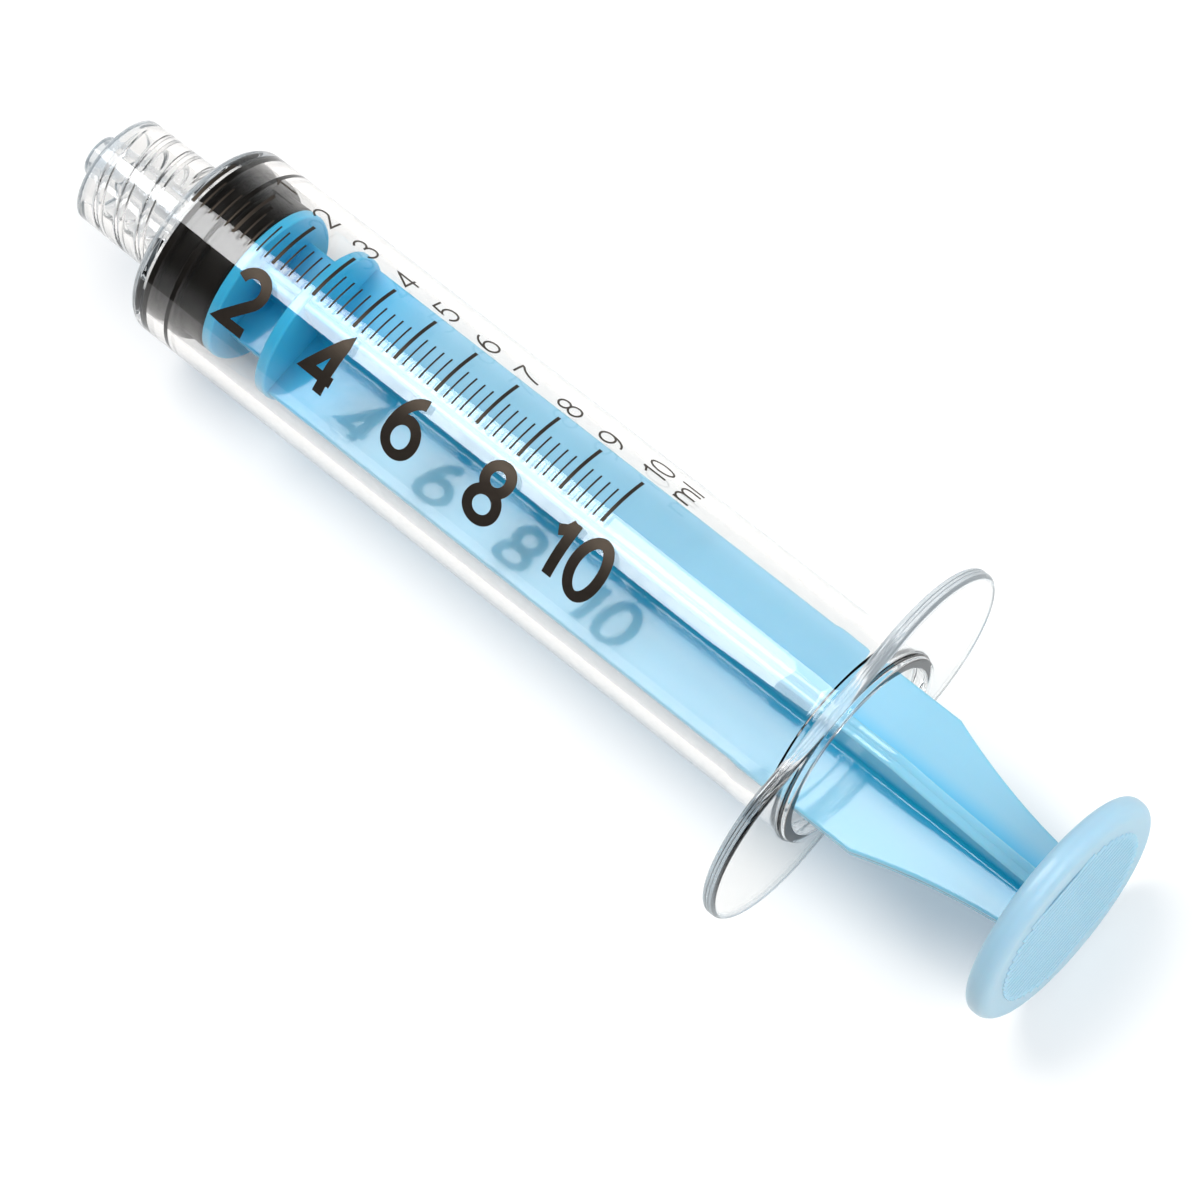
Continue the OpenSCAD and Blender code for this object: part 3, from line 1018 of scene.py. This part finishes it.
def cross_outline(reach):
    """Points of a cross with round tips and filleted inner corners, in the plane across the axis."""
    half = RIB_T / 2
    low = reach - PARTING_DEEP
    quarter = joined_profile(
        arc(reach - TIP_EDGE, -half + TIP_EDGE, TIP_EDGE, -90, 0, 4),
        [(reach, -PARTING_HALF), (low, -PARTING_FLOOR), (low, PARTING_FLOOR), (reach, PARTING_HALF)],
        arc(reach - TIP_EDGE, half - TIP_EDGE, TIP_EDGE, 0, 90, 4),
        arc(half + CORNER_FILLET, half + CORNER_FILLET, CORNER_FILLET, 270, 180, 4),
    )
    quarter += straight(quarter[-1], (half, reach - TIP_EDGE))
    points = []
    for turn in range(4):
        c, s = round(math.cos(math.pi / 2 * turn)), round(math.sin(math.pi / 2 * turn))
        points += [(c * y - s * z, s * y + c * z) for y, z in quarter]
    return points


def cross_bar(stations):
    """Vertices and faces of a cross-shaped bar through stations of (place, reach), capped at both ends."""
    vertices, faces = [], []
    for x, reach in stations:
        vertices += [(x, y, z) for y, z in cross_outline(reach)]
    count = len(vertices) // len(stations)
    for row in range(len(stations) - 1):
        for i in range(count):
            j = (i + 1) % count
            a, b = row * count, (row + 1) * count
            faces.append((a + i, a + j, b + j, b + i))
    faces.append(tuple(reversed(range(count))))
    faces.append(tuple(range(len(vertices) - count, len(vertices))))
    return vertices, faces


print("the cross has", len(cross_outline(BORE_R)), "points round it, and its ribs are", RIB_T, "thick")

# %% Shaft and neck
SHAFT_R = BORE_R - 1.05
NECK_R = 5.3
FOOT_R = 3.9
TAPER_X = MOUTH_X + 5.0
TAPER_STEPS = 24
TAPER_HOLD = 1.0
EDGE_HOLLOW = 0.5
REAR_DISC_T = 1.1
BITE = 0.3


def rib_reach(x):
    """How far the ribs stand out: level to the taper, then down to the foot along a slightly hollow edge."""
    share = min(max((x - TAPER_X) / (REST_X - TAPER_X), 0), 1)
    return SHAFT_R - (SHAFT_R - FOOT_R) * share - 4 * EDGE_HOLLOW * share * (1 - share)


def make_shaft():
    """The long ribs, from inside the rear disc to inside the thumb rest."""
    taper = [TAPER_X + (REST_X - TAPER_X) * i / TAPER_STEPS for i in range(TAPER_STEPS + 1)]
    places = [REAR_DISC_X + REAR_DISC_T / 2, TAPER_X - TAPER_HOLD] + taper + [REST_X + BITE]
    return new_piece("rod_blue", *cross_bar([(x, rib_reach(x)) for x in places]), BLUE)


def make_neck():
    """The short ribs between the two discs, a bite into each."""
    ends = [(DISC_X + BITE, NECK_R), (REAR_DISC_X + BITE, NECK_R)]
    return new_piece("neck", *cross_bar(ends), BLUE)


print("ribs reach", round(SHAFT_R, 2), "along the shaft and", FOOT_R, "at the foot")

# %% Discs
DISC_R = BORE_R - 0.75
DISC_SEGMENTS = 128
DISC_EDGE = (0.2, 5)
REST_FRONT_EDGE = (0.9, 9)
REST_BACK_EDGE = (1.1, 10)


def disc(name, front_x, back_x, radius, front_edge, back_edge, segments):
    """A turned disc. Each of its two edges is given as its round and the steps along it."""
    front_round, front_steps = front_edge
    back_round, back_steps = back_edge
    profile = joined_profile(
        (front_x, 0),
        (front_x, POLE_R),
        arc(front_x + front_round, radius - front_round, front_round, 180, 90, front_steps),
        arc(back_x - back_round, radius - back_round, back_round, 90, 0, back_steps),
        (back_x, POLE_R),
        (back_x, 0),
    )
    return new_piece(name, *turned(profile, segments), BLUE)


def guide_disc(name, x, thick):
    """One of the two discs that guide the rod in the bore."""
    return disc(name, x, x + thick, DISC_R, DISC_EDGE, DISC_EDGE, DISC_SEGMENTS)


def thumb_rest():
    """The round rest, rounder towards the thumb than towards the shaft."""
    edges = (REST_FRONT_EDGE, REST_BACK_EDGE)
    return disc("thumb_rest", REST_X, REST_BACK_X, REST_R, *edges, TURN_SEGMENTS)


print("guide discs", round(2 * DISC_R, 2), "wide, thumb rest", round(2 * REST_R, 2))

# %% The welded rod
SHARP_ANGLE = math.radians(38)


def weld(target, others):
    """Joins closed pieces into one skin by Boolean unions, sharp past SHARP_ANGLE, and removes the parts."""
    for other in others:
        union = target.modifiers.new("weld", "BOOLEAN")
        union.operation = "UNION"
        union.solver = "EXACT"
        union.object = other
    graph = bpy.context.evaluated_depsgraph_get()
    mesh = bpy.data.meshes.new_from_object(target.evaluated_get(graph), depsgraph=graph)
    target.modifiers.clear()
    target.data = mesh
    mesh.set_sharp_from_angle(angle=SHARP_ANGLE)
    for other in others:
        bpy.data.objects.remove(other)
    return target


def make_rod():
    shaft = make_shaft()
    neck = make_neck()
    front = guide_disc("front_disc", DISC_X, FRONT_DISC_T)
    rear = guide_disc("rear_disc", REAR_DISC_X, REAR_DISC_T)
    rest = thumb_rest()
    ridges = grown("thumb_ridges", ridge_tree(ridge_values), ridge_values)
    rod = weld(shaft, [front, neck, rear, rest, ridges])
    rod.data.transform(Matrix.Rotation(ROD_TURN, 4, "X"))
    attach(rod, "plunger")
    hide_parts("plunger_rod")
    return rod


rod = make_rod()
print("rod", len(rod.data.polygons), "faces")

# %% [markdown]
# ## The printed scale
# The real marks are ink, a few hundredths of a millimetre thick. An image on the barrel would need a
# texture and would blur close up, so they are modelled as thin closed plates that hug the barrel.
# Fifty-one lines that follow one rule are a job for Geometry Nodes: a row of points along the axis, a
# flat bar on each, a longer and wider bar on every fifth, and then one Set Position that rolls the whole
# sheet onto the tube. Height over the sheet becomes distance from the axis, and Y becomes the way round
# it. Places and spans round the barrel are in degrees from +Y.

# %% Sizes of the scale
ML = 1000 / (math.pi * BORE_R**2)
LINES_PER_ML = 5
LINES = 10 * LINES_PER_ML + 1
LINE_POINTS = 18
INK_T = 0.03
INK_LIFT = 0.01
INK_R = TUBE_R + INK_LIFT + INK_T / 2
TICK_FOOT = 85.4
LONG_SPAN = 32.0
SHORT_SPAN = 19.4
LONG_W = 0.33
SHORT_W = 0.16
print("one millilitre is", round(ML, 3), "mm long, and the scale has", LINES, "lines")

# %% Tree of the scale lines


def scale_bar(tree, wire, span, width):
    """A flat bar with its foot at the scale's foot, finely cut along Y so that it can bend."""
    size = tree.add("ShaderNodeCombineXYZ", {}, wire[width], wire[span], wire["Thick"])
    bar = tree.add("GeometryNodeMeshCube", {}, size, Vertices_X=2, Vertices_Y=LINE_POINTS, Vertices_Z=2)
    shift = tree.add("ShaderNodeCombineXYZ", {}, 0.0, wire["Foot"] - wire[span] / 2, 0.0)
    return tree.add("GeometryNodeTransform", {}, bar, Translation=shift)


def rolled_place(tree, wire):
    """Where a point of the flat sheet comes to lie on the barrel."""
    place = tree.make("ShaderNodeSeparateXYZ", {}, tree.add("GeometryNodeInputPosition"))
    x, y, z = (Wire(tree, place.outputs[n]) for n in "XYZ")
    angle = y / wire["Radius"]
    reach = wire["Radius"] + z
    across = reach * tree.add("ShaderNodeMath", {"operation": "COSINE"}, angle)
    up = reach * tree.add("ShaderNodeMath", {"operation": "SINE"}, angle)
    return tree.add("ShaderNodeCombineXYZ", {}, x, across, up)


def scale_tree(values):
    """Lines of the scale, every fifth one longer and wider, rolled onto the barrel."""
    group, tree, wire = geometry_tree("scale_lines", values)
    first = tree.add("ShaderNodeCombineXYZ", {}, wire["Start"])
    step = tree.add("ShaderNodeCombineXYZ", {}, wire["Pitch"])
    row = tree.add("GeometryNodeMeshLine", {}, Count=wire["Count"], Offset=step, Start_Location=first)
    index = tree.add("GeometryNodeInputIndex")
    beat = tree.add("ShaderNodeMath", {"operation": "MODULO"}, index, float(LINES_PER_ML))
    is_long = tree.add("FunctionNodeCompare", {"operation": "LESS_THAN"}, beat, 0.5)
    is_short = tree.add("FunctionNodeBooleanMath", {"operation": "NOT"}, is_long)
    both = tree.make("GeometryNodeJoinGeometry")
    for chosen, kind in ((is_long, "Long"), (is_short, "Short")):
        bar = scale_bar(tree, wire, kind, kind + " Width")
        bars = tree.add("GeometryNodeInstanceOnPoints", {}, row, Selection=chosen, Instance=bar)
        tree.plug(both.inputs[0], bars)
    solid = tree.add("GeometryNodeRealizeInstances", {}, Wire(tree, both.outputs[0]))
    bent = tree.add("GeometryNodeSetPosition", {}, solid, Position=rolled_place(tree, wire))
    return finish_tree(group, tree, bent, INK)


print("a bar has", LINE_POINTS, "points along it to bend by")

# %% Scale lines


def print_on_barrel(piece):
    """Ink rides on the barrel. It replaces no node and fills no slot."""
    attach(piece, "barrel")
    return piece


DEGREE = math.radians(1) * INK_R * MM
line_values = {
    "Count": LINES,
    "Start": ZERO_X * MM,
    "Pitch": ML / LINES_PER_ML * MM,
    "Radius": INK_R * MM,
    "Foot": TICK_FOOT * DEGREE,
    "Long": LONG_SPAN * DEGREE,
    "Short": SHORT_SPAN * DEGREE,
    "Long Width": LONG_W * MM,
    "Short Width": SHORT_W * MM,
    "Thick": INK_T * MM,
}
lines = grown("scale_lines", scale_tree(line_values), line_values)
print_on_barrel(lines)
print("scale lines", len(lines.data.polygons), "faces")

# %% [markdown]
# ## Numerals
# The real figures are printed with the lines, fine ones beside them and bold ones on the other side. A
# font object would be the quick way, but its letter shapes aren't the printer's, and its meshes are
# ragged. So they are drawn here, stroke by stroke, as a draughtsman would letter a dial: ovals, arcs and
# straight runs in a box one unit high. The same strokes serve both sizes, because only the pen's width
# changes. Each stroke becomes a ribbon of that width, rolled onto the barrel like the lines.

# %% Strokes of the figures


def bow(cx, cy, rx, ry, start, end, steps=20):
    """Points of an upright oval from one angle to another."""
    turns = [math.radians(start + (end - start) * i / steps) for i in range(steps + 1)]
    return [(cx + rx * math.cos(a), cy + ry * math.sin(a)) for a in turns]


STROKES = {
    "0": [bow(0.5, 0.5, 0.5, 0.5, 0, 360, 40)],
    "1": [[(0.62, 0), (0.62, 1)], [(0.62, 0.985), (0.5, 0.84), (0.2, 0.74)]],
    "2": [bow(0.5, 0.71, 0.48, 0.29, 165, -38) + [(0.02, 0), (1, 0)]],
    "3": [
        bow(0.47, 0.765, 0.43, 0.235, 155, -90) + [(0.36, 0.53)],
        [(0.36, 0.53)] + bow(0.48, 0.265, 0.52, 0.265, 90, -158),
    ],
    "4": [[(0.74, 0), (0.74, 1), (0, 0.29), (1.02, 0.29)]],
    "5": [[(0.93, 1), (0.18, 1), (0.08, 0.5)] + bow(0.47, 0.32, 0.52, 0.32, 138, -150)],
    "6": [
        bow(0.5, 0.31, 0.5, 0.31, 0, 360, 36),
        bow(0.72, 0.34, 0.72, 0.66, 178, 92),
    ],
    "7": [[(0, 1), (1, 1)] + bow(1.32, -0.02, 1.0, 1.0, 112, 180, 8)],
    "8": [bow(0.5, 0.765, 0.42, 0.235, 0, 360, 32), bow(0.5, 0.265, 0.5, 0.265, 0, 360, 36)],
    "m": [
        [(0, 0), (0, 0.7)],
        bow(0.36, 0.42, 0.36, 0.28, 180, 0, 14) + [(0.72, 0)],
        bow(1.08, 0.42, 0.36, 0.28, 180, 0, 14) + [(1.44, 0)],
    ],
    "l": [[(0, 0), (0, 1)]],
}
STROKES["9"] = [[(1 - u, 1 - v) for u, v in stroke] for stroke in STROKES["6"]]
# Only the signs that aren't one unit wide have a width here.
WIDTHS = {"1": 0.62, "m": 1.44, "l": 0.0}
print("strokes drawn for", " ".join(STROKES))

# %% Ribbons along the strokes
FIGURE_SHAPE = 0.62
LONGEST_RUN = 0.3
LARGEST_MITRE = 1.9


def ribbon(points, width):
    """Left and right edges of a stroke, mitred at its corners, with points never far apart."""
    dense = [points[0]]
    for a, b in zip(points, points[1:]):
        count = max(1, math.ceil(math.dist(a, b) / LONGEST_RUN))
        dense += [tuple(p + (q - p) * i / count for p, q in zip(a, b)) for i in range(1, count + 1)]
    closed = math.dist(dense[0], dense[-1]) < SAME
    edges = []
    for i, (x, y) in enumerate(dense):
        before = dense[i - 1] if i else (dense[-2] if closed else None)
        after = dense[i + 1] if i + 1 < len(dense) else (dense[1] if closed else None)
        ways = []
        for one, two in ((before, (x, y)), ((x, y), after)):
            if one and two:
                run = math.dist(one, two)
                ways.append(((two[0] - one[0]) / run, (two[1] - one[1]) / run))
        nx = -sum(w[1] for w in ways)
        ny = sum(w[0] for w in ways)
        size = math.hypot(nx, ny)
        mitre = min(len(ways) / size, LARGEST_MITRE) * width / 2 / size
        edges.append(((x + nx * mitre, y + ny * mitre), (x - nx * mitre, y - ny * mitre)))
    return edges


def figure_strokes(text, high, pen, gap):
    """Strokes of a row of figures in millimetres, from its lower left corner, and the row's length."""
    strokes, at = [], 0.0
    unit = FIGURE_SHAPE * high - pen
    for sign in text:
        for stroke in STROKES[sign]:
            strokes.append([(at + pen / 2 + u * unit, pen / 2 + v * (high - pen)) for u, v in stroke])
        at += WIDTHS.get(sign, 1) * unit + pen + gap
    return strokes, at - gap


def rolled_plate(strokes, pen, place):
    """Closed thin plates for strokes, put on the barrel by a function from flat to (axis place, angle)."""
    vertices, faces = [], []
    for stroke in strokes:
        start = len(vertices)
        edges = ribbon(stroke, pen)
        for left, right in edges:
            for u, v in (left, right):
                x, angle = place(u, v)
                for r in (TUBE_R + INK_LIFT, TUBE_R + INK_LIFT + INK_T):
                    vertices.append((x, r * math.cos(angle), r * math.sin(angle)))
        for i in range(len(edges) - 1):
            a, b = start + 4 * i, start + 4 * (i + 1)
            faces += [(a + p, a + q, b + q, b + p) for p, q in ((0, 1), (1, 3), (3, 2), (2, 0))]
        last = start + 4 * (len(edges) - 1)
        faces += [(start, start + 2, start + 3, start + 1), (last, last + 1, last + 3, last + 2)]
    return vertices, faces


def joined(parts):
    """Several nets of vertices and faces as one."""
    vertices, faces = [], []
    for points, nets in parts:
        faces += [tuple(i + len(vertices) for i in net) for net in nets]
        vertices += points
    return vertices, faces


print("a figure is", FIGURE_SHAPE, "of its height wide")

# %% Fine figures beside the lines
FIGURE_H = 2.55
FIGURE_PEN = 0.2
FIGURE_GAP = 0.42
FIGURE_LEFT = 47.1
FIGURE_AHEAD = 0.3
LINE_STEP = 3.15


def fine_row(text, x):
    """A row that reads across the barrel, its tops towards the tip, centred on a place along the axis."""
    strokes, _ = figure_strokes(text, FIGURE_H, FIGURE_PEN, FIGURE_GAP)

    def place(u, v):
        return x + FIGURE_H / 2 - v, math.radians(FIGURE_LEFT) - u / INK_R

    return rolled_plate(strokes, FIGURE_PEN, place)


rows = [fine_row(str(n), ZERO_X + n * ML - FIGURE_AHEAD) for n in range(1, 11)]
rows.append(fine_row("ml", ZERO_X + 10 * ML - FIGURE_AHEAD + LINE_STEP))
figures = print_on_barrel(new_piece("scale_figures", *joined(rows), INK, smooth=False))
print("fine figures", len(figures.data.polygons), "faces")

# %% Bold figures on the other side
BOLD_H = 6.1
BOLD_PEN = 0.98
BOLD_TOP = 90.8
BOLD_GAP = 0.55


def bold_row(text, x):
    """A row that reads along the barrel, its tops towards the lines, centred on a place along the axis."""
    strokes, length = figure_strokes(text, BOLD_H, BOLD_PEN, BOLD_GAP)

    def place(u, v):
        return x - length / 2 + u, math.radians(BOLD_TOP) + (BOLD_H - v) / INK_R

    return rolled_plate(strokes, BOLD_PEN, place)


rows = [bold_row(str(n), ZERO_X + n * ML) for n in range(2, 11, 2)]
bold = print_on_barrel(new_piece("bold_figures", *joined(rows), INK, smooth=False))
print("bold figures", len(bold.data.polygons), "faces")

# %% [markdown]
# ## Floor
# The portrait stands on white. A floor that only glows would lose the shadow, and a plain white one turns
# grey in a soft light. So the floor is pale and matt, which bounces the light softly and takes the
# shadow, and for the camera and for reflections it also glows a little, which lifts it to paper white.
# Seen through clear plastic it glows less, as the real barrel is a shade darker than the paper behind it.
# It runs through the lowest points of the thumb rest and of the barrel's front, on which the real syringe
# lies.

# %% Floor
FLOOR_R = 1.5
PAPER = (0.79, 0.735, 0.67, 1)
PAPER_GLOW = (0.14, 0.21, 0.29, 1)
LESS_THROUGH = 0.4
TABLE = Matrix.Rotation(ROD_TURN, 3, "X")
REST_LOW = TABLE @ Vector((REST_BACK_X - REST_T / 2, 0, -REST_R)) * MM
FRONT_LOW = TABLE @ Vector((FACE_X + FRONT_SLOPE + FRONT_ROUND, 0, -TUBE_R)) * MM


def ray_kinds(tree):
    """Wires that are 1 for rays from the camera, off a gloss and through clear plastic."""
    path = tree.make("ShaderNodeLightPath")
    return [Wire(tree, path.outputs[n]) for n in ("Is Camera Ray", "Is Glossy Ray", "Is Transmission Ray")]


def paper_floor():
    material, tree, out = new_material("paper_floor")
    camera, glossy, passed = ray_kinds(tree)
    seen = larger(tree, camera, glossy) - passed * LESS_THROUGH
    paper = tree.add("ShaderNodeBsdfDiffuse", {}, Color=PAPER)
    glow = tree.add("ShaderNodeEmission", {}, Color=PAPER_GLOW, Strength=seen)
    tree.plug(out.inputs["Surface"], tree.add("ShaderNodeAddShader", {}, paper, glow))
    return material


def make_floor():
    along = (REST_LOW - FRONT_LOW).normalized() * FLOOR_R
    side = TABLE @ Vector((0, 1, 0)) * FLOOR_R
    corners = [FRONT_LOW + along * a + side * b for a, b in ((-1, -1), (1, -1), (1, 1), (-1, 1))]
    mesh = bpy.data.meshes.new("floor")
    mesh.from_pydata(corners, [], [(0, 1, 2, 3)])
    mesh.materials.append(paper_floor())
    floor = bpy.data.objects.new("floor", mesh)
    bpy.context.scene.collection.objects.link(floor)
    return floor


floor = make_floor()
print("floor", 2 * FLOOR_R, "m wide, tilted with the syringe")

# %% [markdown]
# ## Lamps
# A product like this is lit by large soft lights, because clear plastic shows its shape by what it
# mirrors. One hard lamp would draw a single thin highlight. Here a softbox high beyond the tip gives the
# long highlights along the barrel and the rod, and a wide fill beyond the thumb rest lights the rest's
# face. Together they set where the soft shadow falls.

# %% Lamps
AIM = Vector((0.054, 0, 0))
TOP_AT = Vector((-0.20, 0.07, 0.72))
TOP_SIZE = (0.50, 0.30)
FILL_AT = Vector((0.60, 0.12, 0.45))
FILL_SIZE = (0.60, 0.60)
LAMP_POWER = 3.5


def lamp(name, place, size):
    """A rectangular softbox at a place, turned towards the syringe."""
    light = bpy.data.lights.new(name, "AREA")
    light.shape = "RECTANGLE"
    light.size, light.size_y = size
    light.energy = LAMP_POWER
    piece = bpy.data.objects.new(name, light)
    piece.location = TABLE @ place
    piece.rotation_mode = "QUATERNION"
    piece.rotation_quaternion = (AIM - piece.location).to_track_quat("-Z", "Y")
    bpy.context.scene.collection.objects.link(piece)
    print("lamp", name, [round(v, 2) for v in piece.location])


lamp("top_softbox", TOP_AT, TOP_SIZE)
lamp("front_fill", FILL_AT, FILL_SIZE)

# %% [markdown]
# ## World
# Round the syringe is a plain bright room. An even white world would leave the plastic flat, so what it
# mirrors is darker: a dim room with one broad bright sweep low beyond the tip, and white below the
# horizon. What is seen through the plastic fades from bright at the horizon to dim overhead, which draws
# the dark lines at the edges. Matt surfaces are lit evenly at half strength, and only the camera sees
# pure white.

# %% World
WHITE = (1, 1, 1, 1)
ROOM = 0.50
UP = (0, 0, 1)
SWEEP_WAY = (-0.62, 0.784, 0)
SWEEP_WIDTH = 0.8
SWEEP_HEIGHT = 0.38
SWEEP_BRIGHT = 1.2
MIRRORED_DIM = 0.04
HORIZON = 0.03
THROUGH_LOW, THROUGH_HIGH = 0.05, 0.55
THROUGH_BRIGHT, THROUGH_DIM = 0.9, 0.10


def facing(tree, way):
    """How far a ray of the world points along a way, from -1 to 1."""
    direction = tree.add("ShaderNodeTexCoord", output="Generated")
    product = {"operation": "DOT_PRODUCT"}
    return tree.add("ShaderNodeVectorMath", product, direction, TABLE @ Vector(way), output="Value")


def mirrored_room(tree, height):
    """What a gloss sees: the dim room with its sweep, and white below the horizon."""
    back = facing(tree, SWEEP_WAY)
    sweep = stepped(tree, back, 0.0, SWEEP_WIDTH) * stepped(tree, height, 0.0, SWEEP_HEIGHT, 1.0, 0.0)
    above = (MIRRORED_DIM + sweep * SWEEP_BRIGHT) * stepped(tree, height, 0.0, HORIZON)
    return above + stepped(tree, height, 0.0, HORIZON, 1.0, 0.0)


def make_world():
    world = bpy.data.worlds.new("studio")
    world.use_nodes = True
    world.node_tree.nodes.clear()
    tree = Tree(world.node_tree)
    out = tree.make("ShaderNodeOutputWorld")
    height = facing(tree, UP)
    through = stepped(tree, height, THROUGH_LOW, THROUGH_HIGH, THROUGH_BRIGHT, THROUGH_DIM)
    camera, glossy, passed = ray_kinds(tree)
    level = ROOM + glossy * (mirrored_room(tree, height) - ROOM)
    level = level + passed * (through - level)
    level = level + camera * (1 - level)
    room = tree.add("ShaderNodeBackground", {}, Color=WHITE, Strength=level)
    tree.plug(out.inputs["Surface"], room)
    bpy.context.scene.world = world


make_world()
print("room level", ROOM, "for matt surfaces")

# %% [markdown]
# ## Camera
# The camera was fitted to the photograph: the tip, the mouth and the rest of the real syringe give its
# place and its turn, and their sizes give the lens. A long lens from half a metre away keeps the barrel
# nearly parallel. It could be aimed with a Track To constraint, but a matrix of three directions says the
# roll as well.

# %% Camera
CAMERA_AT = TABLE @ Vector((220.46, -81.63, 472.25)) * MM
LOOKS_ALONG = TABLE @ Vector((-0.31874, 0.15470, -0.93513))
PICTURE_RIGHT = TABLE @ Vector((0.74417, 0.65188, -0.14581))
LENS = 180.43
SENSOR = 36
NEAREST = 0.01
FARTHEST = 20


def make_camera():
    data = bpy.data.cameras.new("camera")
    data.lens = LENS
    data.sensor_width = SENSOR
    data.clip_start = NEAREST
    data.clip_end = FARTHEST
    camera = bpy.data.objects.new("camera", data)
    back = -LOOKS_ALONG.normalized()
    right = (PICTURE_RIGHT - back * PICTURE_RIGHT.dot(back)).normalized()
    up = back.cross(right)
    camera.matrix_world = Matrix.Translation(CAMERA_AT) @ Matrix((right, up, back)).transposed().to_4x4()
    bpy.context.scene.collection.objects.link(camera)
    bpy.context.scene.camera = camera


make_camera()
bpy.context.scene.view_settings.view_transform = "Standard"
print("camera", round(CAMERA_AT.length, 3), "m from the tip, lens", LENS)
